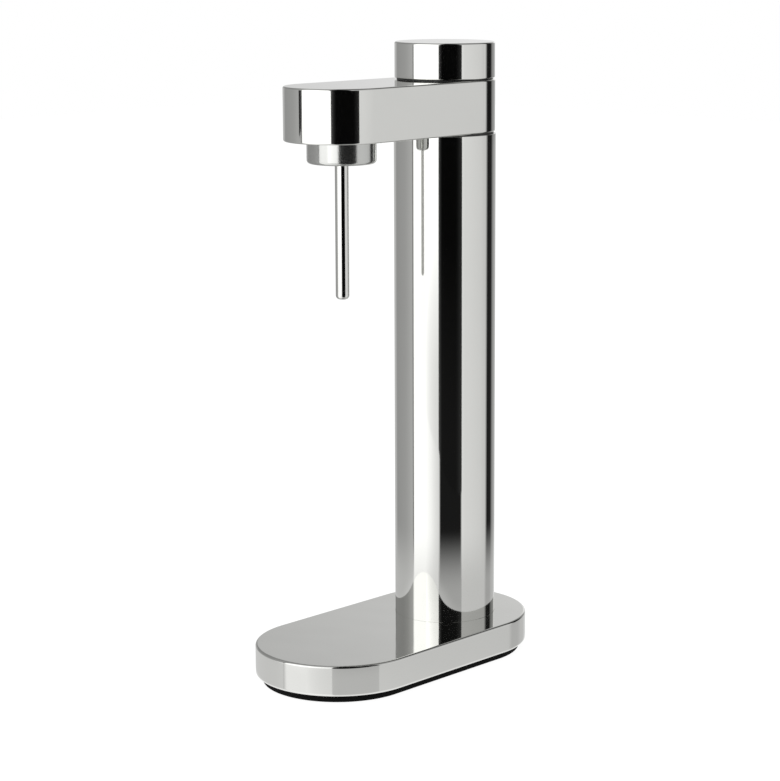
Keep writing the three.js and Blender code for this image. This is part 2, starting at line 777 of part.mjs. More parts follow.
function collarRingNut() {
  const top = plateTop + collarNut.thickness;
  const nut = sleeve(collarNutBore, collarNutRadius, plateTop, top, facets.medium);
  const { notchDepth, notchWidth, notchCount } = collarNut;
  const notches = range(notchCount).map((i) => {
    const [below, above] = [plateTop - fit.overrun, top + fit.overrun];
    const notch = brick(collarNutRadius, 2 * notchDepth, notchWidth, below, above);
    return notch.rotate([0, 0, (360 * i) / notchCount]);
  });
  return cut(nut, ...notches);
}

function bottleInsert() {
  const bottom = collarBottom + insert.setback;
  const body = sleeve(insertBore, insertRadius, bottom, underHolder, facets.medium);
  const steps = facets.edgeSteps + 1;
  const lugs = range(insert.lugCount).map((lug) => {
    const middle = (360 * lug) / insert.lugCount;
    const corner = (radius, i) => {
      const angle = (middle + insert.lugDegrees * (i / steps - 1 / 2)) * degree;
      return new THREE.Vector2(radius * Math.cos(angle), radius * Math.sin(angle));
    };
    const outside = range(steps + 1).map((i) => corner(insertRadius - insert.wall / 2, i));
    const inside = range(steps + 1).map((i) => corner(insertBore - insert.lugReach, steps - i));
    const shape = new THREE.Shape([...outside, ...inside]);
    const slab = new THREE.ExtrudeGeometry(shape, { depth: insert.lugHeight, bevelEnabled: false });
    return solid(slab.translate(0, 0, bottom + insert.lugRise));
  });
  return join(body, ...lugs);
}

function mouthGasket() {
  const bottom = underHolder - mouthSeal.thickness;
  return sleeve(mouthSealBore, mouthSealRadius, bottom, underHolder, facets.medium);
}

function nozzleHolder() {
  const bore = nozzleRadius + fit.gap;
  const body = turnedRing(
    [
      [bore, holderBottom],
      [insertRadius, holderBottom],
      [insertRadius, holderSeat],
      [holderRadius, holderSeat],
      [holderRadius, holderTop],
      [bore, holderTop],
    ],
    facets.medium,
  );
  return cut(body, at(drill(relief.feedRadius, holderBottom, holderTop, facets.tiny), feedOffset, 0));
}

function nozzleTube() {
  return sleeve(tubeBore, nozzleRadius, tubeBottom, holderTop, facets.small);
}

function nozzleRing() {
  const bore = nozzleRadius + fit.gap;
  return sleeve(bore, bore + tubeRing.breadth, underHolder - tubeRing.thickness, underHolder, facets.small);
}

function nozzleTip() {
  const stubTop = tubeBottom + tip.stubLength;
  return turnedRing(
    [
      [tip.jet, tipLevel],
      ...asProfile(nozzleRadius, lowerRound(tipLevel, tip.edge)),
      [nozzleRadius, tubeBottom],
      [stubRadius, tubeBottom],
      [stubRadius, stubTop],
      [tip.jet, stubTop],
    ],
    facets.small,
  );
}

function inletElbow() {
  const [stubBottom, top] = [elbowBottom - elbow.stubLength, elbowFlangeTop + elbow.height];
  const body = turned(
    [
      [0, stubBottom],
      [stubRadius, stubBottom],
      [stubRadius, elbowBottom],
      [elbow.flangeRadius, elbowBottom],
      [elbow.flangeRadius, elbowFlangeTop],
      [elbow.radius, elbowFlangeTop],
      [elbow.radius, top],
      [0, top],
    ],
    facets.small,
  );
  const end = elbow.radius + elbow.nippleLength;
  const nipple = rodAlongY(nippleRadius, 0, end, elbowPort, facets.tiny);
  const across = rodAlongY(elbow.portRadius, 0, end + fit.overrun, elbowPort, facets.tiny);
  const down = bar(elbow.portRadius, stubBottom - fit.overrun, elbowPort + elbow.portRadius, facets.tiny);
  return cut(join(body, nipple), across, down);
}

// The pressure hose from the valve block to the elbow, and the sleeves crimped on its ends.
function gasHose() {
  const path = new THREE.CatmullRomCurve3([
    new THREE.Vector3(0, hoseRear + hose.overlap, portLevel),
    new THREE.Vector3(0, hoseRear, portLevel),
    new THREE.Vector3(0, hoseRear - hose.straight, portLevel),
    new THREE.Vector3(0, hoseFront + hose.straight, elbowPort),
    new THREE.Vector3(0, hoseFront, elbowPort),
    new THREE.Vector3(0, hoseFront - hose.overlap, elbowPort),
  ]);
  const section = new THREE.Shape(regular(hose.radius, hoseSteps.sides));
  const boreCorner = hose.bore / Math.cos(Math.PI / hoseSteps.sides);
  section.holes.push(new THREE.Path(regular(boreCorner, hoseSteps.sides)));
  return solid(new THREE.ExtrudeGeometry(section, { extrudePath: path, steps: hoseSteps.length }));
}

function hoseFerrule(from, to, height) {
  const beyond = Math.sign(to - from) * fit.overrun;
  const outer = rodAlongY(ferruleRadius, from, to, height, facets.small);
  return cut(outer, rodAlongY(ferruleBore, from - beyond, to + beyond, height, facets.small));
}

// The relief valve on the nozzle holder.
function reliefBody() {
  return turnedRing(
    [
      [relief.inletRadius, holderTop],
      [relief.radius, holderTop],
      [relief.radius, reliefTop],
      [relief.chamberRadius, reliefTop],
      [relief.chamberRadius, chamberFloor],
      [relief.seatRadius, chamberFloor],
      [relief.seatRadius, seatLevel],
      [relief.inletRadius, seatLevel],
    ],
    facets.small,
  );
}

function reliefPoppet() {
  const nose = poppetBottom - poppet.noseHeight;
  return turned(
    [
      [0, nose],
      [poppet.noseRadius, nose],
      [poppet.noseRadius, poppetBottom],
      [poppet.radius, poppetBottom],
      [poppet.radius, poppetTop],
      [0, poppetTop],
    ],
    facets.tiny,
  );
}

function reliefVentCap() {
  const plug = relief.chamberRadius - fit.gap;
  const top = reliefCapRim + reliefCap.thickness;
  return turnedRing(
    [
      [reliefCap.vent, reliefPlugBottom],
      [plug, reliefPlugBottom],
      [plug, reliefCapRim],
      [relief.radius, reliefCapRim],
      [relief.radius, top],
      [reliefCap.vent, top],
    ],
    facets.small,
  );
}

// The gas cylinder: a shell with a dished foot, a rounded heel and a domed shoulder.
function gasCylinder() {
  const { wall, heel, dent, floorGap, neckRadius, neckBore, shoulderHeight } = cylinder;
  const quarter = quarterAngles(facets.domeSteps);
  const heelArc = (inset) =>
    quarter.map((a) => [
      cylinderRadius - heel + (heel - inset) * Math.sin(a),
      floorGap + heel - (heel - inset) * Math.cos(a),
    ]);
  const dome = (radius, rise, neck) =>
    quarter.map((a) => [neck + (radius - neck) * Math.cos(a), straightTop + rise * Math.sin(a)]);
  const outside = [...heelArc(0), ...dome(cylinderRadius, shoulderHeight, neckRadius)];
  const inside = [...heelArc(wall), ...dome(cylinderRadius - wall, shoulderHeight - wall, neckBore)];
  const foot = floorGap + dent;
  const mouth = [[neckRadius, neckTop], [neckBore, neckTop]];
  return turned([[0, foot], ...outside, ...mouth, ...inside.reverse(), [0, foot + wall]], facets.medium);
}

function cylinderValve() {
  const { plugBore, plugDepth, bodyRadius, threadRadius, pinHole, chamberRadius } = gasValve;
  const plug = cylinder.neckBore - fit.gap;
  const plugBottom = neckTop - plugDepth;
  const bodyBottom = neckTop + fit.gap;
  return turnedRing(
    [
      [plugBore, plugBottom],
      [plug, plugBottom],
      [plug, bodyBottom],
      [bodyRadius, bodyBottom],
      [bodyRadius, valveShoulder],
      [threadRadius, valveShoulder],
      [threadRadius, valveTop],
      [pinHole, valveTop],
      [pinHole, valveSeat],
      [chamberRadius, valveSeat],
      [chamberRadius, valveLedge],
      [plugBore, valveLedge],
    ],
    facets.medium,
  );
}

function cylinderPin() {
  return turned(
    [
      [0, pinBottom],
      [gasPin.poppetRadius, pinBottom],
      [gasPin.poppetRadius, pinShoulder],
      [gasPin.radius, pinShoulder],
      [gasPin.radius, pinTop],
      [0, pinTop],
    ],
    facets.small,
  );
}

// Every piece, placed in groups about the column's, the nozzle's and the relief valve's axis.
const root = new THREE.Group();
const onColumn = new THREE.Group();
const onNozzle = new THREE.Group();
const onRelief = new THREE.Group();
onColumn.position.y = columnY;
onNozzle.position.y = nozzleY;
onRelief.position.x = reliefOffset;
root.add(onColumn, onNozzle);
onNozzle.add(onRelief);

function add(group, name, shape, material) {
  const mesh = new THREE.Mesh(surface(shape), material);
  mesh.name = name;
  group.add(mesh);
  return mesh;
}

add(root, "foot_pad", footPad(), materials.rubber);
add(root, "base_shell", baseShell(), materials.polished);
add(root, "base_weight", baseWeight(), materials.iron);
add(onColumn, "column_flange", columnFlange(), materials.steel);
add(onColumn, "cylinder_guide", cylinderGuide(), materials.blackPlastic);
add(onColumn, "column_tube", columnTube(), materials.polished);
add(onColumn, "head_ring", headRing(), materials.blackPlastic);
add(root, "head_shell", headShell(), materials.polished);
add(root, "head_plate", headPlate(), materials.polished);
bosses.forEach(([x, y], i) => {
  const mesh = add(root, `base_screw_${i + 1}`, screw(baseScrew, baseScrew.length, false), materials.steel);
  mesh.position.set(x, y, pocketRoof);
  mesh.rotation.x = Math.PI;
});
headPosts.forEach(([x, y], i) => {
  const mesh = add(root, `head_screw_${i + 1}`, screw(headScrew, headScrew.length, true), materials.steel);
  mesh.position.set(x, y, sinkTop);
  mesh.rotation.x = Math.PI;
});

add(onColumn, "valve_block", valveBlock(), materials.brass);
add(onColumn, "socket_gasket", socketGasket(), materials.rubber);
add(onColumn, "plunger_seal", plungerSeal(), materials.rubber);
const plungerCoil = coil(plungerSpring, wellFloor + fit.gap, discBottom - fit.gap);
add(onColumn, "plunger_spring", plungerCoil, materials.steel);
add(onColumn, "valve_plunger", valvePlunger(), materials.steel);
const blockScrewLength = blockFlangeTop - columnTop + ring.screwDepth - fit.overrun;
screwCircle.forEach(([x, y], i) => {
  const shape = screw(blockScrew, blockScrewLength, false);
  add(onColumn, `block_screw_${i + 1}`, shape, materials.steel).position.set(x, y, blockFlangeTop);
});

add(onColumn, "cam_spindle", camSpindle(), materials.steel);
add(onColumn, "spindle_bush", spindleBush(), materials.brass);
add(onColumn, "bush_locknut", bushLocknut(), materials.steel);
add(onColumn, "knob_glide_ring", glideRing(), materials.blackPlastic);
const returnCoil = coil(returnSpring, nutTop + fit.gap, cavityCeiling - fit.gap);
add(onColumn, "knob_return_spring", returnCoil, materials.steel);
add(onColumn, "knob_core", knobCore(), materials.whitePlastic);
add(onColumn, "knob_washer", screwWasher(), materials.steel);
const knobScrewShape = screw(knobScrew, knobScrew.length + knobWasher.thickness, false);
const knobScrewMesh = add(onColumn, "knob_screw", knobScrewShape, materials.steel);
knobScrewMesh.position.z = pocketFloor + knobWasher.thickness;
add(onColumn, "knob_cap", knobCap(), materials.polished);

add(onNozzle, "bottle_collar", bottleCollar(), materials.polished);
add(onNozzle, "collar_nut", collarRingNut(), materials.brass);
add(onNozzle, "bottle_insert", bottleInsert(), materials.blackPlastic);
add(onNozzle, "mouth_seal", mouthGasket(), materials.silicone);
add(onNozzle, "nozzle_holder", nozzleHolder(), materials.whitePlastic);
add(onNozzle, "nozzle_tube", nozzleTube(), materials.polished);
add(onNozzle, "nozzle_ring", nozzleRing(), materials.steel);
add(onNozzle, "nozzle_tip", nozzleTip(), materials.polished);
add(onNozzle, "inlet_elbow", inletElbow(), materials.brass);
add(root, "gas_hose", gasHose(), materials.hose);
const rearFerrule = hoseFerrule(hoseRear, hoseRear + ferrule.length, portLevel);
const frontFerrule = hoseFerrule(hoseFront, hoseFront - ferrule.length, elbowPort);
add(root, "hose_ferrule_rear", rearFerrule, materials.steel);
add(root, "hose_ferrule_front", frontFerrule, materials.steel);
add(onRelief, "relief_body", reliefBody(), materials.brass);
add(onRelief, "relief_poppet", reliefPoppet(), materials.steel);
const reliefCoil = coil(reliefSpring, poppetTop + fit.gap, reliefPlugBottom - fit.gap);
add(onRelief, "relief_spring", reliefCoil, materials.steel);
add(onRelief, "relief_cap", reliefVentCap(), materials.brass);

add(onColumn, "gas_cylinder", gasCylinder(), materials.cylinderPaint);
add(onColumn, "cylinder_valve", cylinderValve(), materials.brass);
add(onColumn, "cylinder_pin", cylinderPin(), materials.steel);
const pinCoil = coil(pinSpring, valveLedge + fit.gap, pinBottom - fit.gap);
add(onColumn, "cylinder_pin_spring", pinCoil, materials.steel);

export default root;
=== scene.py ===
"""Looks for a counter-top sparkling water maker in polished steel, built around its CAD frame.

Every length is in metres, in the frame's own axes: +Z is up, the arm points along -Y, and the
column stands behind the middle. Sizes come from the frame's nodes where a node states them, and
otherwise from the fields of the class that builds the piece.
"""

import logging
import math
from collections.abc import Iterable, Mapping, Sequence
from dataclasses import dataclass, replace
from enum import Enum
from itertools import pairwise

import bmesh
import bpy
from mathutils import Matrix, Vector


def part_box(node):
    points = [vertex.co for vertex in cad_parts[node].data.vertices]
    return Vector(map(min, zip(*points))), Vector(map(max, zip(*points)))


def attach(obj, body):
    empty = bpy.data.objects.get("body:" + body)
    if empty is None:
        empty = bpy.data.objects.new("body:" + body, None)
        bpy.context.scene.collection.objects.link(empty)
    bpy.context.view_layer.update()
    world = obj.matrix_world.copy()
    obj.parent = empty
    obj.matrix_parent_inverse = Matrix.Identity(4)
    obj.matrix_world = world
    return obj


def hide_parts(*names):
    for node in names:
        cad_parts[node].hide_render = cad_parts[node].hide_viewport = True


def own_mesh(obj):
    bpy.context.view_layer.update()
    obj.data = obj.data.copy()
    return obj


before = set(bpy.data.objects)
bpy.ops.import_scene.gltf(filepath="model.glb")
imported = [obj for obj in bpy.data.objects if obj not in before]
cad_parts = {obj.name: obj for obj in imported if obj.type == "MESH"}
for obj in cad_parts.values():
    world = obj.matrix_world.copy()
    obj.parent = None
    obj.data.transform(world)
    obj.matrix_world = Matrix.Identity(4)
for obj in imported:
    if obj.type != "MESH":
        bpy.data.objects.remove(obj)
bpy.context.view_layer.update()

LOG = logging.getLogger("water_maker")
Span = tuple[float, float]
Profile = list[tuple[float, float]]
Ring = list[bmesh.types.BMVert]
Colour = tuple[float, float, float]
UPWARDS = Vector((0.0, 0.0, 1.0))


class Body(Enum):
    """The bodies of the frame that the pieces made here ride on."""

    STAND = "stand"
    KNOB = "knob"
    CYLINDER = "cylinder"


class Slot(Enum):
    """The record's slots for finishes."""

    POLISHED_STEEL = "polished_steel"
    MACHINED_STEEL = "machined_steel"
    BRASS = "brass"
    WEIGHT_IRON = "weight_iron"
    FOOT_RUBBER = "foot_rubber"
    SEAL_RUBBER = "seal_rubber"
    SEAL_SILICONE = "seal_silicone"
    BLACK_PLASTIC = "black_plastic"
    WHITE_PLASTIC = "white_plastic"
    HOSE_NYLON = "hose_nylon"
    CYLINDER_PAINT = "cylinder_paint"


def numbered(stem: str, count: int = 4) -> tuple[str, ...]:
    """The names of nodes that share a stem and are numbered from 1."""
    return tuple(f"{stem}_{i + 1}" for i in range(count))


def grey(value: float) -> tuple[float, float, float, float]:
    """An opaque grey."""
    return (value, value, value, 1.0)


def show(name: str, data: bpy.types.ID) -> bpy.types.Object:
    """Puts data in the scene as a new object.

    Args:
        name: The object's name.
        data: Its mesh, camera or lamp.

    Returns:
        The object.
    """
    made = bpy.data.objects.new(name, data)
    bpy.context.scene.collection.objects.link(made)
    return made


class Signal:
    """A number that varies over a surface: an output socket that takes part in sums."""

    def __init__(self, graph: "Graph", socket: bpy.types.NodeSocket) -> None:
        """Keeps the socket and the graph that it belongs to."""
        self.graph = graph
        self.socket = socket

    def __add__(self, other: "Source") -> "Signal":
        """This plus the other."""
        return self.graph.math("ADD", self, other)

    def __radd__(self, other: "Source") -> "Signal":
        """The other plus this."""
        return self.graph.math("ADD", other, self)

    def __sub__(self, other: "Source") -> "Signal":
        """This minus the other."""
        return self.graph.math("SUBTRACT", self, other)

    def __rsub__(self, other: "Source") -> "Signal":
        """The other minus this."""
        return self.graph.math("SUBTRACT", other, self)

    def __mul__(self, other: "Source") -> "Signal":
        """This times the other."""
        return self.graph.math("MULTIPLY", self, other)

    def __rmul__(self, other: "Source") -> "Signal":
        """The other times this."""
        return self.graph.math("MULTIPLY", other, self)

    def __truediv__(self, other: "Source") -> "Signal":
        """This divided by the other."""
        return self.graph.math("DIVIDE", self, other)

    def __rtruediv__(self, other: "Source") -> "Signal":
        """The other divided by this."""
        return self.graph.math("DIVIDE", other, self)

    def towards(self, other: "Source", share: "Source") -> "Signal":
        """This where the share is 0, the other where it is 1, and a blend between."""
        return self + (other - self) * share

    def step(self, low: float, high: float) -> "Signal":
        """A smooth rise from 0 to 1.

        Args:
            low: The value at which the rise starts.
            high: The value at which it ends.

        Returns:
            0 below low, 1 above high, and a smooth step between them.
        """
        settings = {"interpolation_type": "SMOOTHSTEP"}
        inputs = {"Value": self, "From Min": low, "From Max": high}
        return self.graph.signal("ShaderNodeMapRange", settings, inputs)


Source = Signal | bpy.types.NodeSocket | bpy.types.Node | float | tuple
Settings = Mapping[str, object]
Inputs = Mapping[int | str, Source]


class Graph:
    """Adds nodes to one material's or the world's node tree."""

    # A Mix node has its colour sockets after those for numbers and vectors.
    mix_first = 6
    mix_second = 7
    mix_result = 2

    def __init__(self, tree: bpy.types.NodeTree) -> None:
        """Keeps the tree and clears it."""
        self.tree = tree
        tree.nodes.clear()

    def node(
        self, kind: str, settings: Settings | None = None, inputs: Inputs | None = None
    ) -> bpy.types.Node:
        """Adds a node.

        Args:
            kind: The node's type.
            settings: Its properties, which are set first. The name stops sets a ramp's stops.
            inputs: The values of its input sockets, or what is linked to them. A node stands
                for its own first output.

        Returns:
            The new node.
        """
        made = self.tree.nodes.new(kind)
        for name, value in (settings or {}).items():
            if name == "stops":
                self._set_stops(made.color_ramp, value)
            else:
                setattr(made, name, value)
        for name, value in (inputs or {}).items():
            if isinstance(value, Signal):
                value = value.socket
            elif isinstance(value, bpy.types.Node):
                value = value.outputs[0]
            if isinstance(value, bpy.types.NodeSocket):
                self.tree.links.new(value, made.inputs[name])
            else:
                made.inputs[name].default_value = value
        return made

    def signal(
        self,
        kind: str,
        settings: Settings | None = None,
        inputs: Inputs | None = None,
        output: int | str = 0,
    ) -> Signal:
        """Adds a node and gives one of its outputs as a number."""
        return Signal(self, self.node(kind, settings, inputs).outputs[output])

    def math(self, operation: str, *operands: Source) -> Signal:
        """Adds a Math node and gives its result."""
        return self.signal("ShaderNodeMath", {"operation": operation}, dict(enumerate(operands)))

    def measure(self, operation: str, *vectors: Source) -> Signal:
        """Adds a Vector Math node and gives the number that it works out."""
        inputs = dict(enumerate(vectors))
        return self.signal("ShaderNodeVectorMath", {"operation": operation}, inputs, "Value")

    def place(self) -> bpy.types.NodeSocket:
        """Where a point of the surface is, in the object's own axes."""
        return self.node("ShaderNodeTexCoord").outputs["Object"]

    def parts(self, vector: Source) -> list[Signal]:
        """The parts of a vector along X, Y and Z."""
        split = self.node("ShaderNodeSeparateXYZ", None, {0: vector})
        return [Signal(self, part) for part in split.outputs]

    def tint(self, amount: Source, first: Source, second: Source) -> bpy.types.NodeSocket:
        """Mixes two colours by the share of the second."""
        inputs = {0: amount, self.mix_first: first, self.mix_second: second}
        return self.node("ShaderNodeMix", {"data_type": "RGBA"}, inputs).outputs[self.mix_result]

    def glow(self, colour: Source, strength: float = 1.0) -> bpy.types.Node:
        """Adds a shader that gives off light."""
        return self.node("ShaderNodeEmission", None, {"Color": colour, "Strength": strength})

    def either(self, share: Source, first: Source, second: Source) -> bpy.types.Node:
        """Adds a mix of two shaders, which is the second where the share is 1."""
        return self.node("ShaderNodeMixShader", None, {0: share, 1: first, 2: second})

    @staticmethod
    def _set_stops(ramp: bpy.types.ColorRamp, stops: Sequence[Span]) -> None:
        """Gives a ramp its grey stops.

        Args:
            ramp: The ramp, which has two stops when new.
            stops: Places from 0 to 1 and the brightness there.
        """
        while len(ramp.elements) < len(stops):
            ramp.elements.new(1.0)
        for element, (place, value) in zip(ramp.elements, stops):
            element.position = place
            element.color = grey(value)


def new_material(name: str) -> tuple[bpy.types.Material, Graph]:
    """Makes an empty material.

    Args:
        name: Its name.

    Returns:
        The material, and the graph that adds its nodes.
    """
    made = bpy.data.materials.new(name)
    made.use_nodes = True
    return made, Graph(made.node_tree)


@dataclass(frozen=True)
class Noise:
    """Cloudy noise that is fixed to the object.

    The scale is in cells per metre, the detail in octaves, and the stretch is a factor for each
    axis where the cells aren't round.
    """

    scale: float
    detail: float = 3.0
    stretch: tuple[float, float, float] | None = None

    def drawn(self, graph: Graph) -> Signal:
        """Adds the noise to a graph.

        Args:
            graph: The graph.

        Returns:
            A number about 0.5.
        """
        where: Source = graph.place()
        if self.stretch is not None:
            inputs = {0: where, 1: self.stretch}
            where = graph.node("ShaderNodeVectorMath", {"operation": "MULTIPLY"}, inputs)
        inputs = {"Vector": where, "Scale": self.scale, "Detail": self.detail}
        return graph.signal("ShaderNodeTexNoise", None, inputs)


@dataclass(frozen=True)
class Finish:
    """A finish: its material and the record's slot that it stands for."""

    name: str
    slot: Slot
    colour: Colour
    roughness: float
    metal: float = 0.0

    def material(self) -> bpy.types.Material:
        """The material of this finish, made the first time that it is asked for.

        Returns:
            The material. Where the frame has one of the same name, it is the frame's.
        """
        known = bpy.data.materials.get(self.name)
        if known:
            return known
        made, graph = new_material(self.name)
        made.diffuse_color = (*self.colour, 1.0)
        inputs = {**self.constants(), **self.paint(graph)}
        shader = graph.node("ShaderNodeBsdfPrincipled", None, inputs)
        graph.node("ShaderNodeOutputMaterial", None, {"Surface": shader})
        return made

    def constants(self) -> dict[str, float]:
        """The shader's values that are the same all over."""
        return {"Metallic": self.metal}

    def paint(self, graph: Graph) -> dict[str, Source]:
        """Draws what varies over the surface, as values for the shader's inputs."""
        raise NotImplementedError

    def shaded(self, graph: Graph, amount: Signal, depth: float) -> bpy.types.NodeSocket:
        """The finish's colour, darker by the share depth where the amount is 1."""
        dark = tuple(part * (1.0 - depth) for part in self.colour)
        return graph.tint(amount, (*self.colour, 1.0), (*dark, 1.0))

    @staticmethod
    def relief(graph: Graph, height: Signal, strength: float, depth: float) -> bpy.types.Node:
        """Adds a Bump node for a relief from 0 to 1 and its depth in metres."""
        inputs = {"Strength": strength, "Distance": depth, "Height": height}
        return graph.node("ShaderNodeBump", None, inputs)


@dataclass(frozen=True)
class PolishedSteel(Finish):
    """Mirror-polished stainless steel, with a faint haze where it was buffed and handled.

    It is a metal all over, or nearly so where fine scratches scatter a little light.
    """

    metal: float = 1.0
    haze: float = 0.02
    clouds: Noise = Noise(14.0)
    cloud_span: Span = (0.42, 0.72)
    cloud_shade: float = 0.02
    buffing: Noise = Noise(900.0, 2.0, (1.0, 1.0, 0.12))
    buff_share: float = 0.3
    waves: Noise = Noise(22.0, 1.0)
    wave: float = 0.00001
    wave_strength: float = 0.2

    def paint(self, graph: Graph) -> dict[str, Source]:
        """Hazes the polish in soft clouds and leaves the sheet a little uneven.

        Args:
            graph: The material's graph.

        Returns:
            What is linked to the shader's inputs.
        """
        cloud = self.clouds.drawn(graph).step(*self.cloud_span)
        buff = self.buffing.drawn(graph)
        return {
            "Base Color": self.shaded(graph, cloud, self.cloud_shade),
            "Roughness": self.roughness + self.haze * cloud + self.buff_share * self.haze * buff,
            "Normal": self.relief(graph, self.waves.drawn(graph), self.wave_strength, self.wave),
        }


@dataclass(frozen=True)
class TurnedMetal(Finish):
    """Metal that was turned or milled, with the tool's fine lines."""

    metal: float = 1.0
    lines: Noise = Noise(2500.0, 2.0, (0.05, 0.05, 1.0))
    line_dullness: float = 0.2
    line_strength: float = 0.25
    line_depth: float = 0.00002
    clouds: Noise = Noise(120.0)
    cloud_span: Span = (0.4, 0.8)
    cloud_shade: float = 0.25
    cloud_dullness: float = 0.1
    least_dullness: float = -0.1

    def paint(self, graph: Graph) -> dict[str, Source]:
        """Draws fine lines round the piece and dulls it in clouds.

        Args:
            graph: The material's graph.

        Returns:
            What is linked to the shader's inputs.
        """
        lines = self.lines.drawn(graph)
        cloud = self.clouds.drawn(graph)
        lined = self.roughness + self.least_dullness + self.line_dullness * lines
        return {
            "Base Color": self.shaded(graph, cloud.step(*self.cloud_span), self.cloud_shade),
            "Roughness": lined + self.cloud_dullness * cloud,
            "Normal": self.relief(graph, lines, self.line_strength, self.line_depth),
        }


@dataclass(frozen=True)
class CastMetal(Finish):
    """A coated casting with a sandy skin, partly a metal under its coat."""

    metal: float = 0.6
    grain: Noise = Noise(1100.0, 4.0)
    pit_span: Span = (0.35, 0.7)
    pit_shade: float = 0.4
    grain_dullness: float = 0.2
    grain_strength: float = 0.5
    grain_depth: float = 0.00015

    def paint(self, graph: Graph) -> dict[str, Source]:
        """Pits the skin and spots its colour.

        Args:
            graph: The material's graph.

        Returns:
            What is linked to the shader's inputs.
        """
        grain = self.grain.drawn(graph)
        return {
            "Base Color": self.shaded(graph, grain.step(*self.pit_span), self.pit_shade),
            "Roughness": self.roughness + self.grain_dullness * grain,
            "Normal": self.relief(graph, grain, self.grain_strength, self.grain_depth),
        }


@dataclass(frozen=True)
class Moulded(Finish):
    """A moulded skin: plastic, rubber or silicone, with the mould's fine grain."""

    gloss: float = 0.5
    grain: Noise = Noise(2600.0, 2.0)
    grain_shine: float = 0.06
    grain_strength: float = 0.35
    grain_depth: float = 0.00004
    clouds: Noise = Noise(60.0)
    cloud_span: Span = (0.4, 0.7)
    cloud_shade: float = 0.12
    cloud_dullness: float = 0.12

    def constants(self) -> dict[str, float]:
        """No metal, and the skin's share of gloss."""
        return {"Metallic": self.metal, "Specular IOR Level": self.gloss}

    def paint(self, graph: Graph) -> dict[str, Source]:
        """Grains the skin and varies its sheen.

        Args:
            graph: The material's graph.

        Returns:
            What is linked to the shader's inputs.
        """
        grain = self.grain.drawn(graph)
        cloud = self.clouds.drawn(graph)
        clouded = self.roughness + self.cloud_dullness * cloud
        return {
            "Base Color": self.shaded(graph, cloud.step(*self.cloud_span), self.cloud_shade),
            "Roughness": clouded - self.grain_shine * grain,
            "Normal": self.relief(graph, grain, self.grain_strength, self.grain_depth),
        }


@dataclass(frozen=True)
class PowderCoat(Finish):
    """A satin powder coat with its orange-peel skin."""

    peel: Noise = Noise(700.0, 1.0)
    peel_strength: float = 0.2
    peel_depth: float = 0.00008
    scuffs: Noise = Noise(35.0, 6.0, (1.0, 1.0, 0.2))
    scuff_span: Span = (0.58, 0.75)
    scuff_shade: float = 0.15
    scuff_dullness: float = 0.15

    def paint(self, graph: Graph) -> dict[str, Source]:
        """Dimples the coat and scuffs it lightly.

        Args:
            graph: The material's graph.

        Returns:
            What is linked to the shader's inputs.
        """
        peel = self.peel.drawn(graph)
        scuff = self.scuffs.drawn(graph).step(*self.scuff_span)
        return {
            "Base Color": self.shaded(graph, scuff, self.scuff_shade),
            "Roughness": self.roughness + self.scuff_dullness * scuff,
            "Normal": self.relief(graph, peel, self.peel_strength, self.peel_depth),
        }


POLISHED = PolishedSteel("polished steel", Slot.POLISHED_STEEL, (0.818, 0.82, 0.795), 0.045)
PRESSED = replace(POLISHED, name="polished sheet steel", wave=0.0012)
SATIN = PolishedSteel(
    "softly polished steel",
    Slot.POLISHED_STEEL,
    (0.66, 0.665, 0.646),
    0.14,
    metal=0.97,
    haze=0.04,
)
MACHINED = TurnedMetal("machined steel", Slot.MACHINED_STEEL, (0.62, 0.63, 0.64), 0.3)
SPRING_STEEL = TurnedMetal("spring steel", Slot.MACHINED_STEEL, (0.5, 0.5, 0.51), 0.24)
# The frame has a material of this name, so the brass pieces keep the frame's even brass.
BRASS = TurnedMetal("brass", Slot.BRASS, (0.72, 0.55, 0.28), 0.26)
IRON = CastMetal("cast iron", Slot.WEIGHT_IRON, (0.12, 0.12, 0.13), 0.5)
FOOT_RUBBER = Moulded(
    "foot rubber",
    Slot.FOOT_RUBBER,
    (0.0035, 0.0035, 0.0035),
    0.75,
    gloss=0.12,
    grain=Noise(1500.0, 2.0),
    grain_depth=0.00008,
)
SEAL_RUBBER = Moulded("seal rubber", Slot.SEAL_RUBBER, (0.03, 0.03, 0.03), 0.55)
SILICONE = Moulded("silicone", Slot.SEAL_SILICONE, (0.7, 0.7, 0.68), 0.45)
BLACK_PLASTIC = Moulded("black plastic", Slot.BLACK_PLASTIC, (0.03, 0.03, 0.03), 0.42)
WHITE_PLASTIC = Moulded("white plastic", Slot.WHITE_PLASTIC, (0.8, 0.79, 0.76), 0.38)
NYLON = Moulded(
    "hose nylon",
    Slot.HOSE_NYLON,
    (0.7, 0.72, 0.72),
    0.3,
    grain=Noise(900.0, 2.0),
    grain_depth=0.00002,
)
COAT = PowderCoat("powder coat", Slot.CYLINDER_PAINT, (0.42, 0.44, 0.46), 0.38)


@dataclass(frozen=True)
class Extent:
    """The box of a node of the frame at rest."""

    low: Vector
    high: Vector

    @classmethod
    def of(cls, node: str) -> "Extent":
        """The box of the named node."""
        return cls(*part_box(node))

    @property
    def radius(self) -> float:
        """Half the width along X."""
        return (self.high.x - self.low.x) / 2

    @property
    def x(self) -> float:
        """The middle along X."""
        return (self.high.x + self.low.x) / 2

    @property
    def y(self) -> float:
        """The middle along Y."""
        return (self.high.y + self.low.y) / 2

    @property
    def length(self) -> float:
        """The length along Y."""
        return self.high.y - self.low.y

    @property
    def bottom(self) -> float:
        """The lowest level."""
        return self.low.z

    @property
    def top(self) -> float:
        """The highest level."""
        return self.high.z


